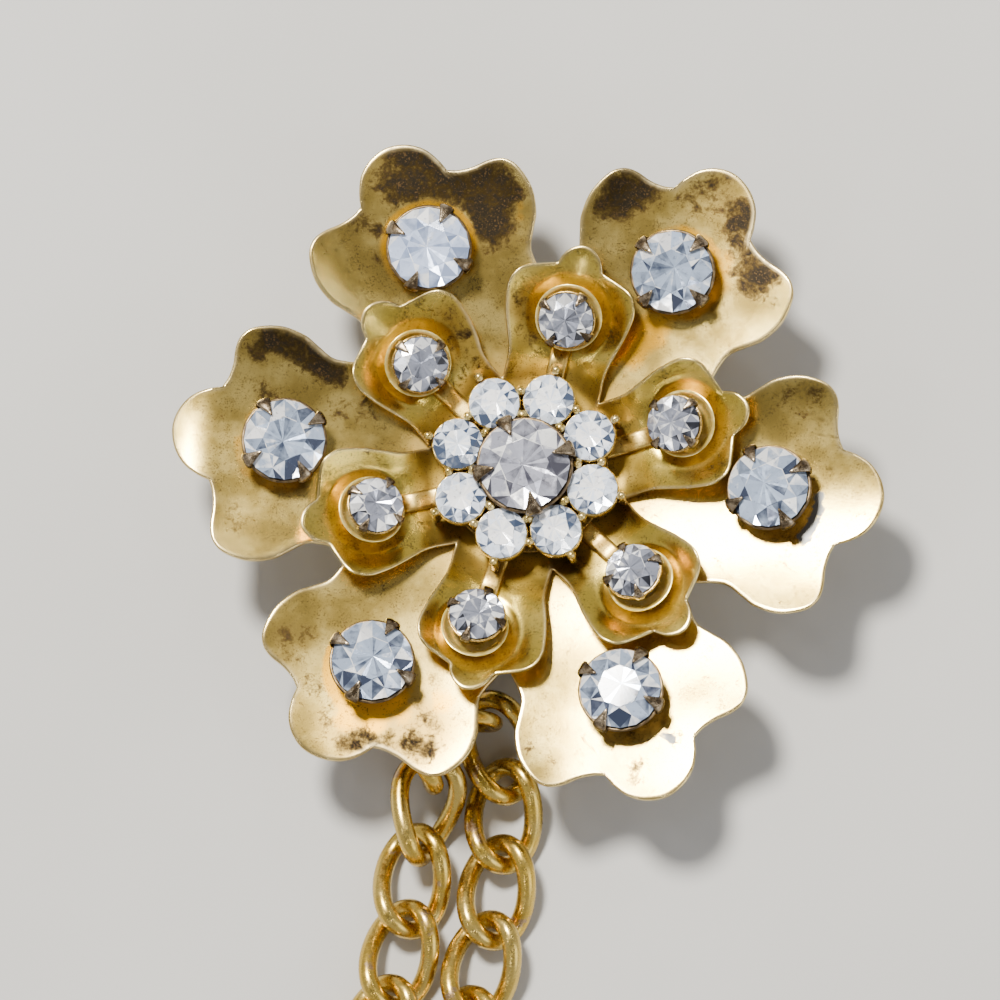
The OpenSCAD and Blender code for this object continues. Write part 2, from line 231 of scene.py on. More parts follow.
def petal_finish(name, low, high):
    """Satin brass with brown stains, speckle, grey solder, orange at the cups and in spots that is partly
    discoloured metal and partly painted glow of bounced light, and a painted highlight along the rim
    """
    f = Finish(name)
    broad = f.clouds(size=3.0, detail=4, roughness=0.6)
    mottle = f.clouds(size=0.9, detail=5, roughness=0.65, distortion=0.4)
    grain = f.clouds(size=0.22, detail=4, roughness=0.7)
    speck = f.clouds(size=0.11, detail=2, roughness=0.5)
    patches = f.added(f.sway(mottle, 3.0), f.sway(grain, 1.3))
    shade = f.fact("shade")
    scratch = f.fact("scratch")
    colour = f.mixed(f.cover(broad, 0.40, 0.66, most=0.8), low, high)
    freckles = f.cover(f.added(grain, f.sway(mottle, 0.4)), 0.50, 0.64, most=0.28)
    colour = f.mixed(freckles, colour, FRECKLE)
    colour = f.mixed(f.times(shade, 0.7), colour, DEEP_SHADE)
    # Orange: partly discoloured metal round the cups, partly painted glow of light bounced between the gold
    # parts into their shade
    tint_and_glow = f.cover(f.added(f.fact("tint_and_glow"), f.times(patches, 0.25)), 0.25, 0.85)
    colour = f.mixed(tint_and_glow, colour, ORANGE_TINT_AND_GLOW)
    covers = []
    for patch_sway, broad_sway, start, full, most, tarnish in TARNISH:
        depth = f.added(f.fact("stain"), f.times(patches, patch_sway), f.sway(broad, broad_sway))
        covers.append(f.cover(depth, start, full, most))
        colour = f.mixed(covers[-1], colour, tarnish)
    dull, crust = covers[0], covers[2]
    dots = f.cover(f.added(speck, f.sway(mottle, 0.5)), 0.60, 0.68, most=0.55)
    colour = f.mixed(dots, colour, DOT)
    # A lighter band along each outline: painted highlight on the rounded rim
    rim = f.times(f.fact("rim"), f.between(broad, 0.3, 0.6, to_low=0.5, to_high=1.0))
    colour = f.mixed(f.times(rim, 0.65), colour, RIM_HIGHLIGHT)
    colour = f.mixed(f.times(scratch, 0.7), colour, SCRATCH)
    solder = f.cover(f.added(f.fact("solder"), f.times(patches, 0.3)), 0.45, 0.75)
    colour = f.mixed(solder, colour, SOLDER)
    rough = f.added(f.between(broad, 0.3, 0.7, to_low=0.19, to_high=0.26), f.times(dull, 0.10),
                    f.times(f.added(crust, shade), 0.16), f.times(solder, 0.20))
    metal = f.maths("SUBTRACT", f.between(crust, 0.0, 1.0, to_low=1.0, to_high=0.85), f.times(tint_and_glow, 0.12))
    relief = f.maths("SUBTRACT", grain, f.times(scratch, 2.0))
    return f.set(Base_Color=colour, Metallic=metal, Roughness=rough, Normal=f.bump(relief, 0.12, 0.015))


def bright_finish():
    """Bright yellow plating, darker in patches low in the ring's recesses: painted shade"""
    f = Finish("bright_plating")
    broad = f.clouds(size=1.3, detail=5, roughness=0.6)
    fine = f.clouds(size=0.25, detail=4, roughness=0.6)
    colour = f.mixed(f.cover(broad, 0.4, 0.65), (0.64, 0.46, 0.13), (0.82, 0.64, 0.27))
    painted_low_shade = f.cover(f.added(fine, f.fact("depth")), 0.75, 1.35, most=0.9)
    colour = f.mixed(painted_low_shade, colour, (0.14, 0.07, 0.012))
    return f.set(Base_Color=colour, Metallic=1.0, Roughness=f.between(fine, 0.3, 0.7, 0.20, 0.34),
                 Normal=f.bump(fine, 0.06, 0.015))


def chain_finish():
    """Yellow plated wire, polished, worn to rosy brown in patches, with a few long nicks"""
    f = Finish("chain_plating")
    patch = f.clouds(size=2.6, detail=3, roughness=0.55, distortion=0.5)
    fine = f.clouds(size=0.3, detail=4, roughness=0.6)
    nicks = f.clouds(size=0.6, detail=3, roughness=0.5, distortion=0.3, stretch=(3, 0.6, 1))
    colour = f.mixed(f.cover(patch, 0.38, 0.58), (0.62, 0.445, 0.12), (0.60, 0.40, 0.07))
    worn = f.cover(f.added(patch, f.sway(fine, 0.3)), 0.60, 0.68, most=0.85)
    colour = f.mixed(worn, colour, (0.40, 0.27, 0.18))
    colour = f.mixed(f.cover(fine, 0.64, 0.74, most=0.3), colour, (0.20, 0.11, 0.03))
    relief = f.added(f.times(nicks, 0.7), f.times(fine, 0.3))
    return f.set(Base_Color=colour, Metallic=1.0, Roughness=f.between(fine, 0.35, 0.7, 0.22, 0.32),
                 Normal=f.bump(relief, 0.05, 0.025))


def worn_finish(name, dark, worn, rough, metal=1.0):
    """Darkened or gilt metal with worn, lighter places"""
    f = Finish(name)
    broad = f.clouds(size=0.7, detail=5, roughness=0.65)
    fine = f.clouds(size=0.15, detail=3, roughness=0.6)
    colour = f.mixed(f.cover(broad, 0.42, 0.62), dark, worn)
    pits = f.cover(fine, 0.58, 0.70, most=0.6)
    colour = f.mixed(pits, colour, tuple(0.25 * c for c in dark))
    return f.set(Base_Color=colour, Metallic=metal, Roughness=f.between(fine, 0.3, 0.7, rough, rough + 0.14),
                 Normal=f.bump(fine, 0.15, 0.015))


def steel_finish():
    """Grey spring steel with long draw marks and a few rust-brown freckles"""
    f = Finish("spring_steel")
    drawn = f.clouds(size=0.25, detail=3, roughness=0.5, stretch=(1, 0.04, 1))
    broad = f.clouds(size=3.5, detail=5, roughness=0.6)
    fine = f.clouds(size=0.35, detail=5, roughness=0.7)
    colour = f.mixed(f.cover(broad, 0.35, 0.65), (0.33, 0.325, 0.31), (0.45, 0.44, 0.42))
    colour = f.mixed(f.cover(fine, 0.62, 0.74, most=0.8), colour, (0.15, 0.09, 0.05))
    return f.set(Base_Color=colour, Metallic=1.0, Roughness=f.between(drawn, 0.3, 0.7, 0.26, 0.40),
                 Normal=f.bump(drawn, 0.25, 0.02))


def stone_finish(name, dark, body, silver):
    """Cut glass with a silver back under a clear glossy coat: each facet leans its own way, and its painted
    glint sets its colour: dark for painted shade, the body colour, white for a painted highlight
    """
    f = Finish(name)
    fine = f.clouds(size=0.3, detail=4, roughness=0.65)
    cloud = f.clouds(size=0.8, detail=3, roughness=0.5)
    # Each facet's painted glint, softened by a cloud
    share = f.added(f.fact("painted_glint"), f.sway(cloud, 0.8))
    colour = f.mixed(f.cover(share, 0.0, 0.50), dark, body)
    colour = f.mixed(f.cover(share, 0.66, 0.88), colour, (1.0, 1.0, 1.0))
    colour = f.mixed(f.cover(fine, 0.56, 0.70, most=0.5), colour, dark)
    f.set(Metallic=silver, Coat_Weight=1.0, Coat_Roughness=0.03, Coat_IOR=1.56)
    return f.set(Base_Color=colour, Roughness=f.between(fine, 0.3, 0.7, 0.08, 0.18),
                 Normal=f.fact("lean", "Vector"))


petal_brass = petal_finish("petal_brass", BRASS, PALE_BRASS)
inner_brass = petal_finish("inner_brass", YELLOW_BRASS, PALE_YELLOW)
bright_plating = bright_finish()
chain_plating = chain_finish()
claw_metal = worn_finish("claw_metal", dark=(0.10, 0.070, 0.040), worn=(0.38, 0.30, 0.20), rough=0.22)
cup_metal = worn_finish("cup_metal", dark=(0.12, 0.085, 0.05), worn=(0.30, 0.21, 0.11), rough=0.34)
# The dishes: a paler, less metallic gilt, painted light that keeps them bright in the cups' shade
pale_gilt = worn_finish("pale_gilt", dark=(0.76, 0.59, 0.15), worn=(0.95, 0.78, 0.30), rough=0.14, metal=0.7)
# The star's hub and arms: a darker gilt, painted shade for the shadow they lie in
star_gilt = worn_finish("star_gilt", dark=(0.48, 0.31, 0.075), worn=(0.64, 0.45, 0.13), rough=0.26)
gilt_cup = worn_finish("gilt_cup", dark=(0.52, 0.33, 0.09), worn=(0.72, 0.50, 0.18), rough=0.20)
spring_steel = steel_finish()
big_glass = stone_finish("big_glass", dark=(0.03, 0.042, 0.08), body=(0.39, 0.48, 0.64), silver=0.35)
hazed_glass = stone_finish("hazed_glass", dark=(0.20, 0.26, 0.42), body=(0.56, 0.66, 0.90), silver=0.20)
small_glass = stone_finish("small_glass", dark=(0.015, 0.017, 0.026), body=(0.26, 0.28, 0.35), silver=0.40)
cluster_glass = stone_finish("cluster_glass", dark=(0.04, 0.06, 0.11), body=(0.72, 0.80, 0.93), silver=0.05)
centre_glass = stone_finish("centre_glass", dark=(0.045, 0.045, 0.065), body=(0.40, 0.41, 0.49), silver=0.30)


# Meshes and pieces
def as_mesh(name, points, faces, material):
    """A mesh from points in millimetres, its faces turned outwards"""
    mesh = bpy.data.meshes.new(name)
    mesh.from_pydata([p * MM for p in points], [], faces)
    shell = bmesh.new()
    shell.from_mesh(mesh)
    bmesh.ops.recalc_face_normals(shell, faces=shell.faces)
    for face in shell.faces:
        face.smooth = True
    shell.to_mesh(mesh)
    shell.free()
    mesh.materials.append(material)
    return mesh


def piece(name, meshes, slot, *nodes):
    """Joins meshes into one piece that stands for CAD nodes"""
    parts = [in_scene(name, mesh) for mesh in meshes]
    if len(parts) > 1:
        with bpy.context.temp_override(active_object=parts[0], object=parts[0],
                                       selected_objects=parts, selected_editable_objects=parts):
            bpy.ops.object.join()
    made = parts[0]
    made.name = name
    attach(made, "root")
    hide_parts(*nodes)
    return made


def baked(obj):
    """The plain mesh of an object with its modifiers applied; the object goes"""
    bpy.context.view_layer.update()
    mesh = bpy.data.meshes.new_from_object(obj.evaluated_get(bpy.context.evaluated_depsgraph_get()))
    bpy.data.objects.remove(obj)
    return mesh


def with_round_edges(mesh, width, segments, angle):
    """The mesh with its edges rounded"""
    obj = in_scene("edge_work", mesh)
    bevel = obj.modifiers.new("round_edge", "BEVEL")
    bevel.width = width * MM
    bevel.segments = segments
    bevel.limit_method = "ANGLE"
    bevel.angle_limit = math.radians(angle)
    return baked(obj)


def lathe(profile, material, sides, place=Matrix.Identity(4), size=1.0):
    """A turned shape: profile is a closed outline of radius and height, or one that ends on the axis"""
    points = []
    rings = []
    for r, z in profile:
        if r < 1e-6:
            rings.append([len(points)])
            points.append(place @ (Vector((0, 0, z)) * size))
            continue
        rings.append(list(range(len(points), len(points) + sides)))
        for k in range(sides):
            flat = polar(r, 360 * k / sides)
            points.append(place @ (Vector((flat.x, flat.y, z)) * size))
    faces = []
    pairs = list(zip(rings, rings[1:]))
    if len(rings[0]) > 1 and len(rings[-1]) > 1:
        pairs.append((rings[-1], rings[0]))
    for a, b in pairs:
        for k in range(sides):
            n = (k + 1) % sides
            corners = [a[k % len(a)], a[n % len(a)], b[n % len(b)], b[k % len(b)]]
            face = [c for i, c in enumerate(corners) if c not in corners[:i]]
            if len(face) > 2:
                faces.append(face)
    return as_mesh("turned", points, faces, material)


def rounded(profile, radius, steps=3):
    """A closed outline with its corners rounded by short arcs"""
    out = []
    count = len(profile)
    for i in range(count):
        here = Vector(profile[i])
        before = Vector(profile[i - 1])
        after = Vector(profile[(i + 1) % count])
        reach = min(radius, 0.45 * (before - here).length, 0.45 * (after - here).length)
        a = here + (before - here).normalized() * reach
        b = here + (after - here).normalized() * reach
        for k in range(steps + 1):
            t = k / steps
            out.append(tuple(lerp(lerp(a, here, t), lerp(here, b, t), t)))
    return out


def softened(profile, radius, steps=3):
    """An outline that begins and ends on the axis, with its other corners rounded"""
    return [profile[0]] + rounded(profile[1:-1], radius, steps) + [profile[-1]]


def store(mesh, name, kind, domain, values):
    """Stores one value by name for each point or face"""
    field = "vector" if kind == "FLOAT_VECTOR" else "value"
    layer = mesh.attributes.new(name, kind, domain)
    for item, value in zip(layer.data, values):
        setattr(item, field, value)


def section(sides, start, wide, thick, side_power, top_power):
    """A closed outline between an ellipse and a box: each point's place across and up, with wide and thick as
    its half sizes
    """
    out = []
    for k in range(sides):
        a = math.tau * (k + start) / sides
        across = wide * math.copysign(abs(math.cos(a)) ** side_power, math.cos(a))
        out.append((across, thick * math.copysign(abs(math.sin(a)) ** top_power, math.sin(a))))
    return out


def skinned(name, rows, material, tip=None):
    """A mesh over closed rows of points that ends in a flat face or a tip"""
    sides = len(rows[0])
    points = [p for row in rows for p in row]
    loops = [list(range(i * sides, (i + 1) * sides)) for i in range(len(rows))]
    faces = [loops[0]] if tip else [loops[0], loops[-1]]
    for a, b in zip(loops, loops[1:]):
        faces += [[a[k], a[(k + 1) % sides], b[(k + 1) % sides], b[k]] for k in range(sides)]
    if tip:
        last = loops[-1]
        faces += [[last[k], last[(k + 1) % sides], len(points)] for k in range(sides)]
        points.append(tip)
    return as_mesh(name, points, faces, material)


# Node trees for shapes that repeat
class Growth(NodeTree):
    """A geometry node tree with named inputs; it ends in Realize Instances and Set Material"""

    def __init__(self, name, **inputs):
        super().__init__(bpy.data.node_groups.new(name, "GeometryNodeTree"))
        face = self.tree.interface
        face.new_socket("Geometry", in_out="INPUT", socket_type="NodeSocketGeometry")
        for title, kind in inputs.items():
            face.new_socket(title, in_out="INPUT", socket_type="NodeSocket" + kind)
        face.new_socket("Geometry", in_out="OUTPUT", socket_type="NodeSocketGeometry")
        self.given = self.node("NodeGroupInput").outputs

    def stored(self, name, kind):
        node = self.node("GeometryNodeInputNamedAttribute", [("data_type", kind)], Name=name)
        return node.outputs["Attribute"]

    def ends(self, shape):
        """Puts the shape on each point, turned and sized as the point says, and closes the tree"""
        spread = self.node("GeometryNodeInstanceOnPoints", Points=self.given["Geometry"], Instance=shape,
                           Rotation=self.stored("turn", "FLOAT_VECTOR"), Scale=self.stored("size", "FLOAT"))
        real = self.node("GeometryNodeRealizeInstances", Geometry=spread.outputs[0])
        smooth = self.node("GeometryNodeSetShadeSmooth", Geometry=real.outputs[0])
        last = self.node("GeometryNodeSetMaterial", Geometry=smooth.outputs[0], Material=self.given["Finish"])
        self.node("NodeGroupOutput", Geometry=last.outputs[0])


def grown(growth, places, **values):
    """The plain mesh that a tree makes on places, each a matrix in millimetres"""
    mesh = bpy.data.meshes.new("places")
    mesh.from_pydata([m.translation * MM for m in places], [], [])
    store(mesh, "turn", "FLOAT_VECTOR", "POINT", [Vector(m.to_euler("XYZ")) for m in places])
    store(mesh, "size", "FLOAT", "POINT", [m.median_scale for m in places])
    obj = in_scene("growth", mesh)
    modifier = obj.modifiers.new("growth", "NODES")
    modifier.node_group = growth.tree
    for socket in growth.tree.interface.items_tree:
        if socket.name in values:
            modifier[socket.identifier] = values[socket.name]
    return baked(obj)


def loop_growth():
    """A closed loop of round wire: an oval whose wire rises and falls twice on its way round"""
    g = Growth("wire_loop", Length="Float", Width="Float", Twist="Float", Wire="Float",
               Steps="Int", Sides="Int", Finish="Material")
    index = g.node("GeometryNodeInputIndex").outputs[0]
    turn = g.maths("DIVIDE", g.maths("MULTIPLY", index, math.tau), g.given["Steps"])
    x = g.maths("MULTIPLY", g.maths("MULTIPLY", g.given["Width"], 0.5), g.maths("COSINE", turn))
    y = g.maths("MULTIPLY", g.maths("MULTIPLY", g.given["Length"], 0.5), g.maths("SINE", turn))
    z = g.maths("MULTIPLY", g.given["Twist"], g.maths("SINE", g.maths("MULTIPLY", turn, 2.0)))
    at = g.node("ShaderNodeCombineXYZ", X=x, Y=y, Z=z)
    ring = g.node("GeometryNodeMeshCircle", Vertices=g.given["Steps"])
    oval = g.node("GeometryNodeSetPosition", Geometry=ring.outputs[0], Position=at.outputs[0])
    middle = g.node("GeometryNodeMeshToCurve", Mesh=oval.outputs[0])
    round_wire = g.node("GeometryNodeCurvePrimitiveCircle", Resolution=g.given["Sides"],
                        Radius=g.maths("MULTIPLY", g.given["Wire"], 0.5))
    wire = g.node("GeometryNodeCurveToMesh", Curve=middle.outputs[0], Profile_Curve=round_wire.outputs[0])
    g.ends(wire.outputs[0])
    return g


def copy_growth():
    """Copies of one part on points"""
    g = Growth("part_on_points", Part="Object", Finish="Material")
    part = g.node("GeometryNodeObjectInfo", Object=g.given["Part"])
    g.ends(part.outputs["Geometry"])
    return g


wire_loop = loop_growth()
part_on_points = copy_growth()


def copies(mesh, places, material):
    """Copies of a mesh at places, through the node tree"""
    part = in_scene("part", mesh)
    made = grown(part_on_points, places, Part=part, Finish=material)
    bpy.data.objects.remove(part)
    return made


# Pressed sheets: each petal blends its valley, its lobed end and its two sides
WEDGE = 180 / PETALS
OUTER_TURN = -6.8
OUTER_REACH = 22.6
OUTER_TOP = 5.75
OUTER_RISE = 0.125
OUTER_HUB_R = 5
OUTER_HALF_WID = 0.327
OUTER_SHEET = 0.5
INNER_TURN = 14.4
INNER_REACH = 14.8
INNER_TOP = 6.35
INNER_RISE = 0.32
INNER_HUB_R = 6
INNER_HALF_WID = 0.284
INNER_SHEET = 0.4
# The sheets' rounded rims, and how far in the upper face draws back to make room for them
RIM_ROUND = 0.12
RIM_BLEND = 1.5
# How far outside the valleys a petal's bends reach their full size
BEND_BLEND = 3.5
# Points closer than this, in millimetres, are one
MERGE = 0.002

# Half a petal's outline from the valley to the tip as shares of its reach, a row each: outwards, across
OUTER_HALF = [
    (0.469, 0.2545), (0.54, 0.2545), (0.584, 0.259), (0.628, 0.287), (0.668, 0.312),
    (0.735, 0.327), (0.805, 0.314), (0.84, 0.286), (0.853, 0.248), (0.854, 0.199), (0.862, 0.159),
    (0.876, 0.13), (0.911, 0.1195), (0.955, 0.095), (0.987, 0.053), (1, 0)]
INNER_HALF = [
    (0.419, 0.216), (0.464, 0.216), (0.514, 0.223), (0.574, 0.243), (0.635, 0.263),
    (0.69, 0.276), (0.765, 0.284), (0.825, 0.262), (0.86, 0.222), (0.885, 0.158), (0.905, 0.102),
    (0.955, 0.079), (0.988, 0.041), (1, 0)]
# How each petal differs from the drawn one: turn, lengthening, widening on its left and on its right
OUTER_BENDS = [
    (1.7, 0.005, 0, 0.07), (1.6, 0.02, -0.06, 0.07), (0, 0, 0.015, 0.015),
    (-1.2, 0.005, 0.09, -0.035), (-1.8, 0, 0.14, -0.04), (-0.3, 0.005, 0.05, 0.03)]
INNER_BENDS = [
    (0.4, -0.01, 0, 0), (0.3, -0.01, 0, -0.02), (-0.3, -0.025, -0.04, 0.06),
    (0, -0.01, 0, 0), (0.5, -0.01, 0, -0.04), (-0.5, -0.015, -0.03, 0)]
# How far each outer petal's sides curl up, and the inner petals' sides
OUTER_CURLS = [0.85, 0.55, 0.55, 0.55, 0.25, 0.2]
INNER_CURL = 0.72
# Where each outer petal's tip begins to bend down, and how fast
DROOPS = [(22, 0), (22, 0), (22, 0), (19.8, 0.06), (17.0, 0.016), (22, 0)]
# The hollow pressed into each inner petal, and the fine ridge round its dish
HOLLOW_DEPTH = 0.38
HOLLOW_FLOOR_R = 1.2
HOLLOW_R = 4.4
RIDGE_HEIGHT = 0.05
RIDGE_R = 2.75
RIDGE_WID = 0.16
# Soft unevenness of the sheets: size, height, seed
OUTER_WAVES = (5.0, 0.11, 3.0)
INNER_WAVES = (3.5, 0.07, 8.0)
# The radii between which each of these sets in
OUTER_CURL_FROM = (OUTER_HUB_R, 12)
INNER_CURL_FROM = (5, 9)
HOLLOW_FROM = (7.2, 10)
RIDGE_FROM = (7.6, 9.2)
OUTER_WAVES_FROM = (10, 14)
INNER_WAVES_FROM = (8, 11)
# The radii between which the dark middle of each sheet fades
OUTER_MIDDLE = (6.5, 9.5)
INNER_MIDDLE = (5.5, 8.5)
# The distances from the outline between which the painted highlight along the rim fades, and from a scratch's
# line the scratch
OUTER_RIM_HIGHLIGHT = (0.1, 0.38)
INNER_RIM_HIGHLIGHT = (0.08, 0.32)
SCRATCH_HALF = (0.02, 0.10)
# Seats on the outer petals, a row each: angle, radius, turn of the claws
BIG_SEATS = [
    (-5.4, 15.7, 27), (53, 15.75, 47), (113.4, 15.6, 65),
    (173.1, 15.6, 30), (231.9, 15.9, 62), (292.9, 15.7, 63)]
# Dishes on the inner petals, a row each: angle, radius, turn of the claws, shift of the cup inwards
SMALL_SEATS = [
    (15.6, 10.6, 45, 0.2), (74.3, 10.3, 52, 0), (135, 9.95, 48, 0),
    (194.5, 10.35, 60, 0), (252.2, 10.8, 67, 0.25), (315.3, 10.45, 20, 0.25)]

# How strongly the metal round each big cup is orange, partly discoloured and partly painted glow reflected
# from the cup, and on which side the most
TINT_AND_GLOW_RINGS = [(0.45, 200), (0.8, 10), (1.1, 95), (0.5, 190), (1.0, 225), (0.5, 100)]
TINT_AND_GLOW_RING_R = 2.85
TINT_AND_GLOW_RING_END = 3.5
# Out to which share of its radius a spot is full, and where it ends
SPOT_FULL = 0.4
SPOT_END = 1.8
# Spots on the two sheets, a row each: x, y, radius, strength. First the orange ones, painted glow of light
# bounced from the gold into shaded places, with some discoloured metal
OUTER_TINT_AND_GLOW = [
    (-0.45, 16.3, 0.35, 0.55), (-0.4, 17.0, 0.35, 0.6), (12.6, 13.4, 0.7, 0.6), (12.3, 11.9, 0.8, 0.55),
    (7.8, 9.0, 1.2, 0.85), (6.6, 7.5, 1.0, 0.7), (9.4, 10.5, 0.8, 0.7), (-2.9, -13.6, 0.7, 0.7),
    (-11.4, -15.7, 0.9, 0.75), (-9.6, -16.0, 0.8, 0.85), (-7.9, -15.4, 0.8, 0.6), (-5.3, -14.6, 0.9, 0.6),
    (-11.9, -11.9, 0.7, 0.7)]
INNER_TINT_AND_GLOW = [
    (-8.5, -2.9, 1.0, 0.7), (-7.0, -2.2, 0.8, 0.6), (4.1, 7.3, 1.0, 0.8), (3.4, 6.2, 0.8, 0.6),
    (-8.9, 3.8, 0.8, 0.6), (-2.2, 9.6, 0.6, 0.4), (-5.9, -8.4, 0.8, 0.5), (10.6, 5.4, 0.7, 0.4)]
# Brown stains
OUTER_STAINS = [
    (-5.4, 18.9, 1.5, 1.0), (-7.8, 17.9, 1.1, 0.9), (-9.3, 18.6, 0.9, 0.5), (-6.7, 19.3, 1.2, 0.85),
    (-8.0, 20.0, 1.1, 0.75), (-6.9, 20.2, 1.0, 0.7), (-2.8, 17.9, 2.0, 1.0), (-2.3, 15.8, 1.4, 0.9),
    (-1.4, 17.6, 1.0, 0.7), (-9.3, 15.5, 0.6, 0.8), (-10.6, 16.0, 0.8, 0.5), (-9.2, 13.9, 0.5, 0.5),
    (6.2, 17.6, 1.3, 0.9), (4.8, 16.5, 0.8, 0.5), (7.9, 17.9, 0.9, 0.5), (10.8, 17.3, 1.1, 0.55),
    (13.6, 16.4, 1.0, 0.9), (13.7, 14.7, 1.0, 0.9), (14.4, 12.5, 1.3, 1.0), (15.4, 13.2, 1.0, 0.8),
    (12.2, 18.3, 0.8, 0.5), (17.5, 4.9, 1.3, 0.28), (18.6, 3.6, 0.9, 0.25), (-16.1, 8.6, 0.8, 0.9),
    (-15.0, 8.1, 0.9, 0.9), (-13.9, 7.4, 0.9, 0.95), (-12.7, 7.0, 0.8, 0.9), (-12.0, 6.2, 0.7, 0.8),
    (-17.1, 7.7, 0.6, 0.7), (-16.4, 5.3, 0.8, 0.5), (-12.3, 4.2, 0.8, 0.45), (-10.5, 4.2, 0.8, 0.5),
    (-18.3, -2.9, 1.3, 0.3), (-14.6, -10.7, 1.4, 0.35), (-14.3, -13.9, 1.0, 0.35), (-11.8, -17.3, 0.5, 0.7),
    (-9.4, -17.4, 1.0, 0.4), (-12.4, -15.6, 0.8, 0.3), (-10.6, -15.6, 2.0, 0.2), (-8.2, -16.6, 1.7, 0.24),
    (-6.5, -15.6, 1.2, 0.2), (-12.9, -13.0, 1.6, 0.15), (-11.0, -17.1, 0.6, 0.6), (-10.0, -16.6, 0.6, 0.55),
    (-8.8, -16.8, 0.5, 0.5), (-7.4, -17.4, 0.6, 0.6), (-6.4, -17.8, 0.6, 0.75), (9.1, -16.9, 0.5, 0.45),
    (7.0, -19.5, 0.7, 0.45), (0.4, -18.0, 0.6, 0.35)]
INNER_STAINS = [
    (-3.8, 8.7, 0.9, 0.9), (-2.9, 7.4, 0.8, 0.8), (-5.1, 10.3, 0.8, 0.6), (-4.3, 6.3, 0.7, 0.7),
    (-9.2, 10.5, 0.4, 0.6), (-8.4, 10.6, 0.4, 0.5), (-0.4, 11.1, 0.6, 0.8), (-0.2, 9.5, 0.6, 0.7),
    (0.4, 8.2, 0.6, 0.5), (5.4, 8.4, 0.6, 0.5), (3.0, 13.9, 0.6, 0.4), (9.0, 6.2, 0.8, 0.45),
    (12.7, 0.5, 0.5, 0.8), (12.0, 0.0, 0.4, 0.7), (-12.6, 0.2, 0.6, 0.4), (-10.6, 1.1, 0.6, 0.4),
    (-6.5, -9.2, 0.6, 0.6), (-6.7, -10.2, 0.4, 0.4)]
# Where the petals darken softly
OUTER_SHADES = [(-9.6, -16.8, 2.6, 1.0), (-7.0, -16.3, 2.4, 0.95), (-8.4, -14.8, 2.0, 0.6)]
INNER_SHADES = [
    (-3.5, 8.2, 1.5, 0.9), (-4.7, 9.8, 1.0, 0.8), (-0.5, 10.4, 0.9, 0.9), (-0.1, 8.6, 0.9, 0.8),
    (3.6, 8.6, 0.8, 0.6), (-8.4, -3.0, 1.1, 0.7), (7.4, 4.9, 0.9, 0.5), (-6.2, -9.3, 0.9, 0.6)]
# Grey solder that ran out beside two of the big cups
SOLDER_SPOTS = [
    (18.5, -1.9, 0.4, 1), (18.4, -2.6, 0.4, 1), (18.1, -3.3, 0.4, 1), (17.9, -3.9, 0.4, 1),
    (17.5, -4.5, 0.5, 1), (8.6, -16.9, 0.35, 0.7), (9.1, -17.2, 0.4, 0.8)]
# How much of their strength the inner sheet's stains and orange spots have
INNER_STAINED = 0.42
INNER_TINT_AND_GLOW_SHARE = 0.4
# Scratches on the outer sheet, a row each: both ends
SCRATCHES = [
    ((18.6, 2.1), (19.9, 1.8)), ((18.4, 0.9), (19.4, -0.4)), ((18.0, 3.4), (18.9, 2.9)),
    ((-16.9, -9.2), (-15.8, -10.4)), ((3.4, -16.9), (4.4, -18.0)), ((-5.2, 17.0), (-7.2, 16.3))]


def spots(p, rows):
    """How strongly rows of round spots cover a point"""
    clear = 1.0
    for x, y, r, strength in rows:
        away = math.hypot(p.x - x, p.y - y)
        if away < SPOT_END * r:
            clear *= 1 - strength * (1 - ramp(SPOT_FULL * r, SPOT_END * r, away))
    return 1 - clear


def scratched(p):
    """How deep a scratch is at a point"""
    depth = 0.0
    for a, b in SCRATCHES:
        a = Vector(a)
        b = Vector(b)
        t = min(1.0, max(0.0, (p - a).dot(b - a) / (b - a).length_squared))
        depth = max(depth, 1 - ramp(*SCRATCH_HALF, (p - lerp(a, b, t)).length))
    return depth


def waves(p, size, depth, seed):
    """Soft hand-made unevenness of a sheet"""
    return depth * noise.noise(Vector((p.x / size, p.y / size, seed)))


def outer_height(p, k):
    """Height of the outer sheet's upper face at a flat point of petal k"""
    r = p.length
    at = turned(p, OUTER_TURN + 2 * WEDGE * k)
    start, bend = DROOPS[k]
    droop = bend * max(0, r - start) ** 2
    rise = OUTER_RISE * max(0, r - OUTER_HUB_R)
    curl = OUTER_CURLS[k] * (p.y / (OUTER_HALF_WID * OUTER_REACH)) ** 2 * ramp(*OUTER_CURL_FROM, r)
    return OUTER_TOP - droop + rise + curl + waves(at, *OUTER_WAVES) * ramp(*OUTER_WAVES_FROM, r)


def inner_height(p, k):
    """Height of the inner sheet's upper face at a flat point of petal k"""
    r = p.length
    angle, seat_r = SMALL_SEATS[k][:2]
    at = turned(p, INNER_TURN + 2 * WEDGE * k)
    away = (at - polar(seat_r, angle)).length
    hollow = HOLLOW_DEPTH * (1 - ramp(HOLLOW_FLOOR_R, HOLLOW_R, away)) * ramp(*HOLLOW_FROM, r)
    ridge = RIDGE_HEIGHT * math.exp(-((away - RIDGE_R) / RIDGE_WID) ** 2) * ramp(*RIDGE_FROM, r)
    curl = INNER_CURL * (p.y / (INNER_HALF_WID * INNER_REACH)) ** 2 * ramp(*INNER_CURL_FROM, r)
    rise = INNER_RISE * max(0, r - INNER_HUB_R)
    return INNER_TOP + rise + curl - hollow + ridge + waves(at, *INNER_WAVES) * ramp(*INNER_WAVES_FROM, r)


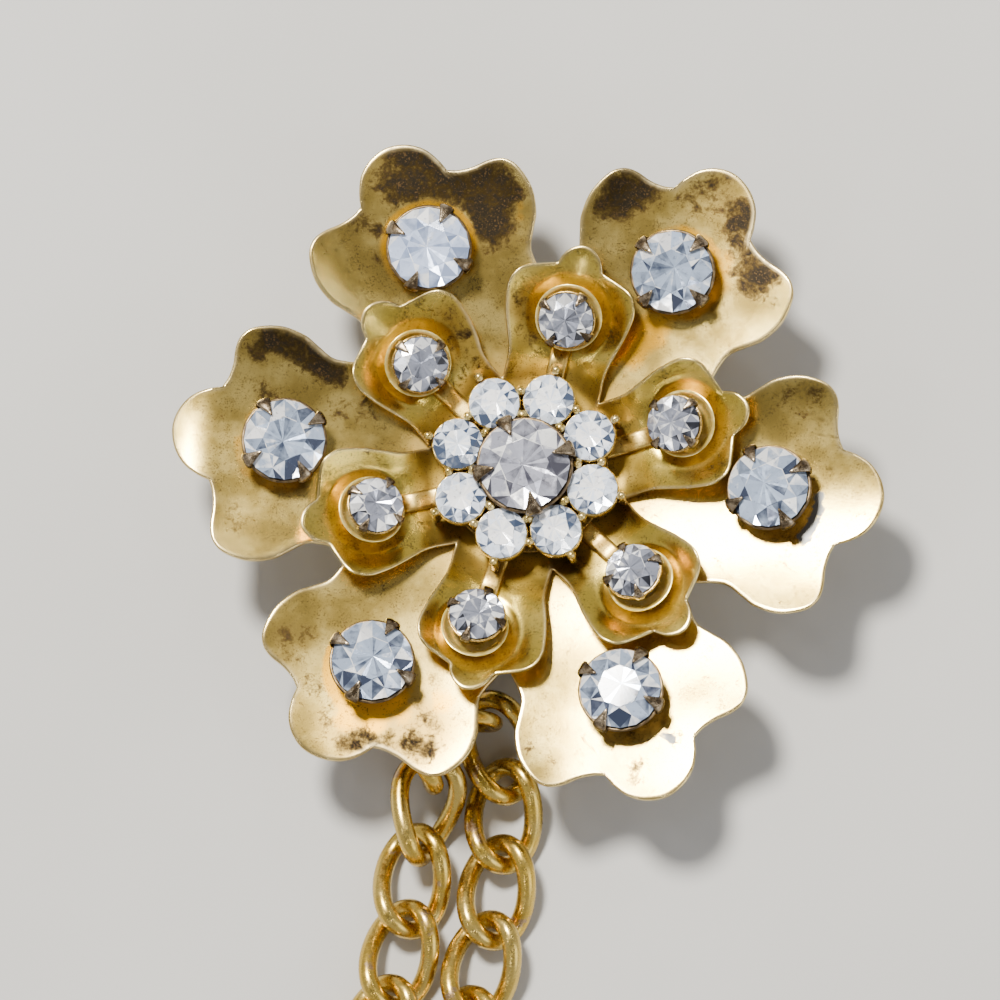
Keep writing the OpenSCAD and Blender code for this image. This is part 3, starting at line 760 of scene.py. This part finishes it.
def flat_petal(half, corner, notch, rings, cols, rows):
    """Rows of flat points of one petal, from the hole to the rim"""
    valley_r = rings[-1]
    edge = [polar(valley_r, WEDGE)] + half
    tip = len(edge) - 1
    flank = edge[:notch + 1]
    lobe = edge[notch:] + [mirrored(p) for p in reversed(edge[notch:tip])]

    def end(s):
        x = 2 * (tip - corner) * s
        y = 2 * (tip - corner) - x
        if x < notch - corner:
            return mirrored(spline(flank, corner + x))
        if y < notch - corner:
            return spline(flank, corner + y)
        return mirrored(spline(lobe, x - notch + corner))

    def patch(s, t):
        side = spline(flank, corner * t)
        valley = lerp(polar(valley_r, -WEDGE), polar(valley_r, WEDGE), s)
        return (lerp(polar(valley_r, lerp(-WEDGE, WEDGE, s)), end(s), t) + lerp(mirrored(side), side, s)
                - lerp(valley, lerp(end(0), end(1), s), t))

    grid = [[polar(r, lerp(-WEDGE, WEDGE, j / cols)) for j in range(cols + 1)] for r in rings]
    for i in range(1, rows + 1):
        grid.append([patch(j / cols, i / rows) for j in range(cols + 1)])
    return grid


def closed_sheet(sheet, wall, radius):
    """Gives a flat-lying sheet, in metres, its underside and a rounded rim all round"""
    outwards = {}
    border = []
    for edge in sheet.edges:
        if edge.is_boundary:
            loop = edge.link_loops[0]
            pair = (loop.vert, loop.link_loop_next.vert)
            way = (pair[1].co - pair[0].co).to_2d().normalized()
            border.append(pair)
            for v in pair:
                outwards[v] = outwards.get(v, Vector((0, 0, 0))) + Vector((way.y, -way.x, 0))
    rim = [(v, v.co.copy(), out.normalized()) for v, out in outwards.items()]
    tree = kdtree.KDTree(len(rim))
    for i, (v, at, out) in enumerate(rim):
        tree.insert((at.x, at.y, 0), i)
    tree.balance()
    top = list(sheet.verts)
    faces = list(sheet.faces)
    # The upper face draws back from its outline to leave room for the rim's round
    for v in top:
        found = tree.find((v.co.x, v.co.y, 0))
        v.co -= rim[found[1]][2] * radius * max(0.0, 1 - found[2] / (RIM_BLEND * MM))
    low = {v: sheet.verts.new(v.co - Vector((0, 0, wall))) for v in top}
    for face in faces:
        sheet.faces.new([low[v] for v in reversed(face.verts)])
    profile = []
    for a in (30, 60, 90):
        profile.append((radius * (math.sin(math.radians(a)) - 1), radius * (1 - math.cos(math.radians(a)))))
    profile += [(out, wall - down) for out, down in reversed(profile)]
    columns = {}
    for v, at, out in rim:
        between = [sheet.verts.new(at + out * away - Vector((0, 0, down))) for away, down in profile]
        columns[v] = [v] + between + [low[v]]
    for a, b in border:
        for i in range(len(profile) + 1):
            sheet.faces.new([columns[b][i], columns[a][i], columns[a][i + 1], columns[b][i + 1]])
    bmesh.ops.recalc_face_normals(sheet, faces=sheet.faces)
    return tree


def with_facts(mesh, facts):
    """Stores numbers by name on each point, from its place in millimetres"""
    rows = [facts(Vector((v.co.x / MM, v.co.y / MM))) for v in mesh.vertices]
    for title in rows[0]:
        store(mesh, title, "FLOAT", "POINT", [row[title] for row in rows])


def pressed_sheet(name, petal, wall, bends, turn, height, facts, metal, node):
    """One sheet of six petals with its facts for the finish on every point"""
    grid = flat_petal(**petal)
    valley_r = petal["rings"][-1]
    width = petal["cols"] + 1
    points = []
    faces = []
    for k in range(PETALS):
        start = len(points)
        twist, lengthening, left, right = bends[k]
        for row in grid:
            for p in row:
                w = ramp(valley_r, valley_r + BEND_BLEND, p.length)
                wide = left if p.y > 0 else right
                bent = turned(Vector((p.x * (1 + lengthening * w), p.y * (1 + wide * w))),
                              twist * w + 2 * WEDGE * k + turn)
                points.append(Vector((bent.x, bent.y, height(p, k))))
        for i in range(len(grid) - 1):
            for j in range(width - 1):
                a = start + i * width + j
                faces.append([a, a + width, a + width + 1, a + 1])
    mesh = bpy.data.meshes.new(name)
    mesh.from_pydata([p * MM for p in points], [], faces)
    sheet = bmesh.new()
    sheet.from_mesh(mesh)
    bmesh.ops.remove_doubles(sheet, verts=sheet.verts, dist=MERGE * MM)
    tree = closed_sheet(sheet, wall * MM, RIM_ROUND * MM)
    for face in sheet.faces:
        face.smooth = True
    sheet.to_mesh(mesh)
    sheet.free()
    mesh.materials.append(metal)
    with_facts(mesh, lambda p: facts(p, tree.find((p.x * MM, p.y * MM, 0))[2] / MM))
    piece(name, [mesh], "petal_gold", node)


def outer_facts(p, to_rim):
    """What the outer sheet's finish needs to know at a point"""
    tint_and_glow = 0.0
    for (angle, r, turn), (strength, way) in zip(BIG_SEATS, TINT_AND_GLOW_RINGS):
        out = p - polar(r, angle)
        side = out.normalized().dot(polar(1, way))
        share = 0.35 + 0.65 * ramp(-0.6, 0.5, side)
        tint_and_glow = max(tint_and_glow, strength * share * (1 - ramp(TINT_AND_GLOW_RING_R, TINT_AND_GLOW_RING_END, out.length)))
    tint_and_glow = max(tint_and_glow, spots(p, OUTER_TINT_AND_GLOW))
    return {"stain": spots(p, OUTER_STAINS) * (1 - 0.8 * tint_and_glow), "tint_and_glow": tint_and_glow,
            "rim": 1 - ramp(*OUTER_RIM_HIGHLIGHT, to_rim), "solder": spots(p, SOLDER_SPOTS), "scratch": scratched(p),
            "shade": max(1 - ramp(*OUTER_MIDDLE, p.length), spots(p, OUTER_SHADES))}


def inner_facts(p, to_rim):
    """What the inner sheet's finish needs to know at a point"""
    return {"stain": INNER_STAINED * spots(p, INNER_STAINS), "tint_and_glow": INNER_TINT_AND_GLOW_SHARE * spots(p, INNER_TINT_AND_GLOW),
            "rim": 1 - ramp(*INNER_RIM_HIGHLIGHT, to_rim), "solder": 0.0, "scratch": 0.0,
            "shade": max(1 - ramp(*INNER_MIDDLE, p.length), spots(p, INNER_SHADES))}


outer_petal = {"half": [Vector(p) * OUTER_REACH for p in OUTER_HALF], "corner": 8, "notch": 12,
               "rings": [1.3, 2.6, 3.9, 5, 6.2, 7.3, 8.4, 9.5], "cols": 72, "rows": 34}
inner_petal = {"half": [Vector(p) * INNER_REACH for p in INNER_HALF], "corner": 8, "notch": 11,
               "rings": [1.3, 2.6, 3.9, 5, 6, 6.4], "cols": 72, "rows": 36}
pressed_sheet("outer_petals_sheet", outer_petal, OUTER_SHEET, OUTER_BENDS, OUTER_TURN,
              outer_height, outer_facts, petal_brass, "outer_petals")
pressed_sheet("inner_petals_sheet", inner_petal, INNER_SHEET, INNER_BENDS, INNER_TURN,
              inner_height, inner_facts, inner_brass, "inner_petals")


# Seats, stones and their cups, drawn for a stone of one radius and scaled
DRAWN_R = 2.57
BIG_R = 2.57
SMALL_R = 1.75
CLUSTER_R = 1.6
CENTRE_R = 2.9
OUTER_SLOPE = math.degrees(math.atan(OUTER_RISE))
INNER_SLOPE = math.degrees(math.atan(INNER_RISE))
# How high the big cups stand on the petals, the dishes over the solids' hollows, and the small cups in them
BIG_LIFT = 0.1
SOLID_HOLLOW = 0.5
DISH_LIFT = 0.25
CUP_LIFT = 0.7
CENTRE_LOW = 7.72
CENTRE_CLAWS = [20, 115, 192, 281]
# Towards the key light, seen from above; stone facets on this side get more painted glint
LIGHT_SIDE = Vector((-0.5, 0.86))
# The big stone that has gone milky, counted from one
HAZED = 3


def on_seat(seat, height, slope):
    """A place over a seat, tilted outwards with the petal"""
    return spin("Z", seat[0]) @ shift(seat[1], 0, height) @ spin("Y", -slope) @ spin("Z", -seat[0])


def big_place(seat):
    return on_seat(seat, OUTER_TOP + OUTER_RISE * (seat[1] - OUTER_HUB_R) + BIG_LIFT, OUTER_SLOPE)


def dish_place(seat):
    height = INNER_TOP + INNER_RISE * (seat[1] - INNER_HUB_R) - SOLID_HOLLOW + DISH_LIFT
    return on_seat(seat, height, INNER_SLOPE)


def small_place(seat):
    inwards = polar(-seat[3], seat[0])
    return dish_place(seat) @ shift(inwards.x, inwards.y, CUP_LIFT)


# The stone's rings of corners and its sharp end, as drawn
TABLE_R = 1.36
TABLE_Z = 2.8
CROWN_R = 2.0
CROWN_Z = 2.55
GIRDLE_TOP_Z = 2.18
GIRDLE_LOW_Z = 2.03
CULET_Z = 0.75
# The thin line round the table, made to carry painted highlights: how much wider it is than the table, and
# the height of its outer edge
LINE_WIDER = 1.035
LINE_Z = 2.785
# A face whose middle lies above the first height is the table's, above the second the line's, below the third
# the stone's back
TABLE_FACES_Z = 2.79
LINE_FACES_Z = 2.7
BACK_FACES_Z = 2.1
# Between how many degrees a facet's own lean tilts it, and how many facets keep the lean of their shape
TILTS = (5, 28)
PLAIN_SHARE = 0.2
# Between which values the line's faces get painted glint, on the side of the key light and away from it
LINE_LIGHT = (0.5, 1.1)
LINE_DARK = (0.0, 0.7)


def cut_stone(r, place, seed, glass, painted_shine=0.0, painted_table_shine=0.0):
    """A cut stone with an eight-sided table; each facet keeps its own lean and its own painted glint, more of
    it on the key light's side
    """
    draw = random.Random(seed)

    def ring(count, radius, z, offset=0.0):
        flat = [polar(radius, 360 * i / count + offset) for i in range(count)]
        return [Vector((p.x, p.y, z)) for p in flat]

    def split(corners, parts):
        """The corners with each side cut into uneven parts"""
        out = []
        for a, b in zip(corners, corners[1:] + corners[:1]):
            out.append(a)
            out += [a.lerp(b, (k + draw.uniform(-0.3, 0.3)) / parts) for k in range(1, parts)]
        return out

    centre = Vector((draw.uniform(-0.25, 0.25), draw.uniform(-0.25, 0.25), TABLE_Z))
    table = split(ring(8, TABLE_R, TABLE_Z), 3)
    line = [Vector((p.x * LINE_WIDER, p.y * LINE_WIDER, LINE_Z)) for p in table]
    points = (table + line + ring(8, CROWN_R, CROWN_Z, 22.5) + split(ring(16, DRAWN_R, GIRDLE_TOP_Z), 2)
              + ring(16, DRAWN_R, GIRDLE_LOW_Z) + [centre, Vector((0, 0, CULET_Z))])
    inner = list(range(24))
    edge = list(range(24, 48))
    crown = list(range(48, 56))
    upper = list(range(56, 88))
    lower = list(range(88, 104))
    middle = 104
    culet = 105
    faces = [[middle, inner[i], inner[(i + 1) % 24]] for i in range(24)]
    faces += [[inner[i], edge[i], edge[(i + 1) % 24], inner[(i + 1) % 24]] for i in range(24)]
    for i in range(8):
        a = crown[i - 1]
        b = crown[i]
        faces += [[edge[(3 * i + k) % 24], edge[(3 * i + k + 1) % 24], b] for k in range(3)]
        faces += [[edge[3 * i], b, upper[4 * i]], [edge[3 * i], upper[4 * i], a]]
        faces += [[b, upper[(4 * i + k + 1) % 32], upper[4 * i + k]] for k in range(4)]
    for i in range(16):
        n = (i + 1) % 16
        faces += [[upper[2 * i], upper[2 * i + 1], upper[(2 * i + 2) % 32], lower[n], lower[i]],
                  [lower[i], lower[n], culet]]
    mesh = as_mesh("stone", [place @ (p * (r / DRAWN_R)) for p in points], faces, glass)
    turning = place.to_3x3()
    painted_glints = []
    leans = []
    for face in mesh.polygons:
        face.use_smooth = False
        at = sum((points[v] for v in face.vertices), Vector()) / len(face.vertices)
        tilt = math.radians(draw.uniform(*TILTS))
        way = math.atan2(at.y, at.x) + draw.uniform(-0.4, 0.4)
        sink = math.sin(tilt)
        lean = turning @ Vector((-math.cos(way) * sink, -math.sin(way) * sink, math.cos(tilt)))
        own = at.z < BACK_FACES_Z or draw.random() < PLAIN_SHARE
        leans.append(face.normal.copy() if own else lean)
        # Faces on the key light's side get more painted glint
        side = (turning @ Vector((at.x, at.y, 0)) / DRAWN_R).to_2d().dot(LIGHT_SIDE)
        if len(face.vertices) == 4 and at.z > LINE_FACES_Z:
            painted_glints.append(draw.uniform(*(LINE_LIGHT if side > -0.2 else LINE_DARK)))
        elif at.z > TABLE_FACES_Z:
            painted_glints.append(0.15 + 0.55 * draw.random() + painted_shine + painted_table_shine)
        else:
            painted_glints.append(draw.random() + painted_shine + 0.45 * max(0.0, side) - 0.1)
    store(mesh, "painted_glint", "FLOAT", "FACE", painted_glints)
    store(mesh, "lean", "FLOAT_VECTOR", "FACE", leans)
    return mesh


# The cup's outline and the small cups' foot, each point's radius and height
CUP = [
    (0, 0), (1.7, 0), (2.3, 0.9), (2.45, 1.3), (2.72, 1.7), (2.72, 1.93), (2.5, 1.95),
    (2.45, 1.75), (2.2, 1.35), (2.05, 0.95), (1.5, 0.3), (0, 0.3)]
FOOT = [(0, 0.34), (0.55, 0.34), (0.75, 0.42), (0.75, 0.72), (0, 0.72)]
# A claw from the cup's side over the stone's edge, a row each: outwards, height, half its width; then its tip
CLAW = [
    (2.74, 1.58, 0.48), (2.84, 1.72, 0.50), (2.87, 1.95, 0.51), (2.87, 2.2, 0.50), (2.82, 2.36, 0.48),
    (2.66, 2.48, 0.42), (2.44, 2.58, 0.33), (2.2, 2.68, 0.24), (1.97, 2.78, 0.15), (1.76, 2.87, 0.08)]
CLAW_TIP = (1.66, 0, 2.90)
# Half its thickness at both ends, and how much it bows round the stone
CLAW_THICK = (0.12, 0.085)
CLAW_BOW = 0.35


def claw_mesh():
    """One pointed claw, drawn on the X axis"""
    rows = []
    for i, (r, z, half) in enumerate(CLAW):
        before = Vector(CLAW[max(i - 1, 0)][:2])
        after = Vector(CLAW[min(i + 1, len(CLAW) - 1)][:2])
        way = (after - before).normalized()
        out = Vector((way.y, -way.x))
        thick = lerp(*CLAW_THICK, i / (len(CLAW) - 1))
        outline = section(sides=10, start=0, wide=half, thick=thick, side_power=0.6, top_power=0.7)
        rows.append([Vector((r + out.x * up - CLAW_BOW * across * across, across, z + out.y * up))
                     for across, up in outline])
    return skinned("claw", rows, claw_metal, Vector(CLAW_TIP))


def claws(place, r, angles, seed):
    """Claws round a stone, each leaning a little to one side of its angle"""
    places = []
    for i, angle in enumerate(angles):
        lean = noise.noise(Vector((seed * 3.1, i * 2.7, 0.5))) * 5
        places.append(place @ spin("Z", angle + lean) @ Matrix.Scale(r / DRAWN_R, 4))
    return copies(claw_mesh(), places, claw_metal)


def quarter_turns(turn):
    return [turn + 90 * k for k in range(4)]


def setting(name, place, r, angles, seed, metal, extra=()):
    """A cup with its claws, and whatever else belongs to the piece"""
    cup = lathe(softened(CUP, 0.09, 2), metal, 48, place, r / DRAWN_R)
    piece(name + "_metal", [cup, claws(place, r, angles, seed), *extra], "dark_settings", name)


for i, seat in enumerate(BIG_SEATS, 1):
    at = big_place(seat)
    setting(f"big_setting_{i}", at, BIG_R, quarter_turns(seat[2]), i, cup_metal)
    stone = cut_stone(BIG_R, at, i, hazed_glass if i == HAZED else big_glass)
    piece(f"big_stone_{i}_cut", [stone], "large_stones", f"big_stone_{i}")

for i, seat in enumerate(SMALL_SEATS, 1):
    at = small_place(seat)
    foot = lathe(FOOT, gilt_cup, 24, at @ shift(0, 0, -CUP_LIFT))
    setting(f"small_setting_{i}", at, SMALL_R, quarter_turns(seat[2]), 10 + i, gilt_cup, [foot])
    stone = cut_stone(SMALL_R, at, 10 + i, small_glass, painted_shine=0.08)
    piece(f"small_stone_{i}_cut", [stone], "small_stones", f"small_stone_{i}")


# The star: a hub with six flat arms that rise to the dishes
STAR_LOW = 6.5
STAR_MIDDLE = 6.71
STAR_TOP = 6.92
STAR_HOLE_R = 1.3
STAR_HUB_R = 4.2
ARM_START_R = 3.8
ARM_WID = 1.2
ARM_THICK = 0.38
# The arms bend upwards between two radii, and rise as a straight line from the third would
ARM_BEND_R = 5.4
ARM_BENT_R = 7.0
ARM_RISE_R = 6.2
# A dish's outline, each point's radius and height
DISH = [(0, 0), (1.1, 0), (1.8, 0.25), (2.18, 0.95), (1.95, 0.95), (1.6, 0.5), (1.0, 0.3), (0, 0.3)]


def rounded_bar(path, wide, thick, material, place):
    """A flat bar along a path of outward distance and height, with softened edges"""
    outline = section(sides=12, start=0.5, wide=wide / 2, thick=thick / 2, side_power=0.35, top_power=0.5)
    rows = [[place @ Vector((x, across, z + up)) for across, up in outline] for x, z in path]
    return skinned("bar", rows, material)


def flat_ring(hole_r, r, low, top, edge, material):
    """A flat round plate with a hole and softened edges"""
    return lathe(rounded([(hole_r, low), (r, low), (r, top), (hole_r, top)], edge), material, 72)


def spoke_star():
    parts = [flat_ring(STAR_HOLE_R, STAR_HUB_R, STAR_LOW, STAR_TOP, 0.12, star_gilt)]
    dish = softened(DISH, 0.13, 4)
    for seat in SMALL_SEATS:
        end_r = seat[1] - 2
        path = [(ARM_START_R, STAR_MIDDLE)]
        for k in range(9):
            x = lerp(ARM_BEND_R, ARM_BENT_R, k / 8)
            rise = max(0, x - ARM_RISE_R) * ramp(ARM_BEND_R, ARM_BENT_R, x)
            path.append((x, STAR_MIDDLE + INNER_RISE * rise))
        path.append((end_r, STAR_MIDDLE + INNER_RISE * (end_r - ARM_RISE_R)))
        parts.append(rounded_bar(path, ARM_WID, ARM_THICK, star_gilt, spin("Z", seat[0])))
        parts.append(lathe(dish, pale_gilt, 64, dish_place(seat)))
    piece("spoke_star_metal", parts, "bright_gold", "spoke_star")


spoke_star()


# The cast ring of eight cups, with beads between the stones and a nub outside each
CLUSTER_LOW = 6.97
CLUSTER_TURN = 25.6
CLUSTER_STEP = 360 / CLUSTER
CLUSTER_CUP_R = 4.5
CLUSTER_RIM = 2.1
CLUSTER_GAP = 0.09
# One cup's outline, each point's radius and height
CLUSTER_CUP = [
    (0.62, 0.35), (1.3, 0.12), (1.6, 0.6), (1.68, 1.4), (1.68, 2.1), (1.56, 2.16),
    (1.5, 2.05), (1.1, 1.3), (0.62, 0.62)]
# The darker stone of the ring, given less painted glint, counted from zero
DULLED = 3


def round_cluster(r, onwards=0.0, lift=0.0):
    """Eight places round the middle, turned onwards from the cups"""
    return [spin("Z", CLUSTER_TURN + onwards + CLUSTER_STEP * k) @ shift(r, 0, CLUSTER_LOW + lift)
            for k in range(CLUSTER)]


def bead(post, head, height):
    """A round head on a thin post that widens at its foot"""
    ball = []
    for k in range(6):
        flat = polar(1.0, 90 - 22.5 * k)
        ball.append((max(0.0, flat.x), flat.y))
    low = [(0, 0), (post * 1.25, 0), (post, 0.25), (post, height - head * 0.7)]
    return lathe(low + [(head * r, height + head * z) for r, z in reversed(ball)], bright_plating, 20)


def cluster_setting():
    cup = lathe(rounded(CLUSTER_CUP, 0.08, 2), bright_plating, 40)
    lug_path = [(-0.9, 0.25), (-0.2, 0.25), (0.05, 0.25)]
    lug = rounded_bar(lug_path, 0.48, 0.5, bright_plating, Matrix.Identity(4))
    nubs = round_cluster(6.42, onwards=1.5, lift=0.25)
    shapes = [(cup, round_cluster(CLUSTER_CUP_R)), (bead(post=0.24, head=0.3, height=2.3), nubs), (lug, nubs),
              (bead(post=0.27, head=0.34, height=2.3), round_cluster(3.3, CLUSTER_STEP / 2)),
              (bead(post=0.22, head=0.29, height=2.4), round_cluster(4.85, CLUSTER_STEP / 2))]
    parts = [flat_ring(hole_r=1.5, r=5.2, low=CLUSTER_LOW, top=CLUSTER_LOW + 0.35, edge=0.1,
                       material=bright_plating)]
    parts += [copies(mesh, places, bright_plating) for mesh, places in shapes]
    made = piece("cluster_setting_metal", parts, "bright_gold", "cluster_setting")
    # How low each point lies in the ring, which sets the plating's painted shade in its recesses
    depths = [1 - ramp(CLUSTER_LOW + 0.8, CLUSTER_LOW + CLUSTER_RIM, v.co.z / MM) for v in made.data.vertices]
    store(made.data, "depth", "FLOAT", "POINT", depths)


cluster_setting()
size = CLUSTER_R / DRAWN_R
places = round_cluster(CLUSTER_CUP_R, lift=CLUSTER_RIM + CLUSTER_GAP - GIRDLE_LOW_Z * size)
for i, at in enumerate(places):
    painted_shine = -0.35 if i == DULLED else -0.08
    stone = cut_stone(CLUSTER_R, at @ spin("Z", 17 * i), 30 + i, cluster_glass, painted_shine, painted_table_shine=0.6)
    piece(f"cluster_stone_{i + 1}_cut", [stone], "cluster_stones", f"cluster_stone_{i + 1}")

middle = shift(0, 0, CENTRE_LOW)
setting("centre_setting", middle, CENTRE_R, CENTRE_CLAWS, 40, cup_metal)
piece("centre_stone_cut", [cut_stone(CENTRE_R, middle, 41, centre_glass)], "small_stones", "centre_stone")


# Rivet, clip, ring and chain
# The rivet's outline, each point's radius and height
RIVET = [
    (0, 3.85), (2, 3.85), (2, 4.2), (1.15, 4.35), (1.15, 7.37), (2, 7.37), (2, 7.6), (1.4, 7.67),
    (0, 7.67)]
piece("centre_rivet_metal", [lathe(softened(RIVET, 0.12), bright_plating, 48)], "bright_gold", "centre_rivet")


def clip_mesh():
    """The CAD clip with merged corners and softened edges"""
    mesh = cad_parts["back_clip"].data.copy()
    work = bmesh.new()
    work.from_mesh(mesh)
    bmesh.ops.remove_doubles(work, verts=work.verts, dist=MERGE * MM)
    bmesh.ops.dissolve_limit(work, angle_limit=math.radians(1), verts=work.verts, edges=work.edges)
    work.to_mesh(mesh)
    work.free()
    mesh.materials.clear()
    mesh.materials.append(spring_steel)
    return with_round_edges(mesh, width=0.14, segments=3, angle=40)


piece("back_clip_metal", [clip_mesh()], "spring_steel", "back_clip")

RING_AT = (-4.6, -15.1, 2.93)
RING_SIZE = 4.8
RING_WIRE = 0.95
ring = grown(wire_loop, [shift(*RING_AT) @ spin("Z", -8) @ spin("X", 90)], Length=RING_SIZE * MM,
             Width=RING_SIZE * MM, Twist=0.0, Wire=RING_WIRE * MM, Steps=64, Sides=20, Finish=chain_plating)
piece("jump_ring_wire", [ring], "chain_gold", "jump_ring")

# One link: its length and width, how far its wire rises and falls, and the wire's thickness
LINK = {"Length": 6.3 * MM, "Width": 3.8 * MM, "Twist": 0.85 * MM, "Wire": 1.2 * MM, "Steps": 72, "Sides": 20}
# The two strands, a row for each link: middle x, y, z, heading, slope, roll
STRANDS = {
    "left_link_": [
        (-6.5, -16.4, 3.5, 5, 25, 59), (-6.65, -20.85, 2.55, -9, 13, 35), (-7.6, -25.3, 1.47, -6, 0, 0),
        (-8.4, -30.1, 1.47, -13, 0, 0), (-9.65, -34.85, 1.47, -16, 0, 0)],
    "right_link_": [
        (-2.1, -16.9, 2.1, 14, 13, 6), (-1.8, -21.2, 1.47, -3, 0, 0), (-2.25, -26.05, 1.47, -8, 0, 0),
        (-3.2, -30.85, 1.47, -14, 0, 0), (-4.45, -35.6, 1.47, -15, 0, 0)]}
for start, rows in STRANDS.items():
    for i, (x, y, z, heading, slope, roll) in enumerate(rows, 1):
        at = shift(x, y, z) @ spin("Z", heading) @ spin("X", slope) @ spin("Y", roll)
        link = grown(wire_loop, [at], Finish=chain_plating, **LINK)
        piece(f"{start}{i}_wire", [link], "chain_gold", f"{start}{i}")


# Floor and soft light
FLOOR_HALF = 3.0
FLOOR_DARK = (0.48, 0.475, 0.46)
FLOOR_PALE = (0.52, 0.515, 0.50)


def make_floor():
    mesh = bpy.data.meshes.new("floor")
    corners = [(FLOOR_HALF * x, FLOOR_HALF * y, 0) for x, y in ((-1, -1), (1, -1), (1, 1), (-1, 1))]
    mesh.from_pydata(corners, [], [(0, 1, 2, 3)])
    floor = in_scene("floor", mesh)
    f = Finish("pale_floor")
    cloud = f.clouds(size=40, detail=3, roughness=0.5)
    colour = f.mixed(f.cover(cloud, 0.3, 0.7), FLOOR_DARK, FLOOR_PALE)
    mesh.materials.append(f.set(Base_Color=colour, Roughness=0.8))


def soft_light(name, towards, away, size, power, colour):
    """A round lamp that shines at the middle and isn't seen by the camera"""
    data = bpy.data.lights.new(name, "AREA")
    data.shape = "DISK"
    data.size = size
    data.energy = power
    data.color = colour
    lamp = in_scene(name, data)
    way = Vector(towards).normalized()
    lamp.location = way * away
    lamp.rotation_euler = way.to_track_quat("Z", "Y").to_euler()
    lamp.visible_camera = False


def make_world():
    """Pale light all round, dimmer straight above, where the camera hangs"""
    world = bpy.data.worlds.new("studio")
    world.use_nodes = True
    tree = NodeTree(world.node_tree)
    place = tree.node("ShaderNodeTexCoord").outputs["Generated"]
    height = tree.node("ShaderNodeSeparateXYZ", Vector=place).outputs["Z"]
    background = world.node_tree.nodes["Background"].inputs
    background["Color"].default_value = (0.86, 0.85, 0.85, 1)
    tree.feed(background["Strength"], tree.between(height, 0.50, 0.92, to_low=0.74, to_high=0.25))
    scene.world = world


make_floor()
soft_light("key", towards=(-0.22, 0.38, 0.898), away=0.8, size=0.16, power=15.0, colour=(1.0, 0.96, 0.88))
soft_light("side", towards=(0.9, -0.5, 0.55), away=1.0, size=0.6, power=2.0, colour=(0.93, 0.96, 1.0))
# Small lamps round the camera's line, which the stones' facets catch
SPARKS = 8
for k in range(SPARKS):
    flat = polar(0.55 + 0.2 * (k % 3), 360 * k / SPARKS + 20)
    soft_light(f"spark_{k + 1}", (flat.x, flat.y, 1.0), away=1.0, size=0.06, power=0.30, colour=(1, 1, 1))
make_world()
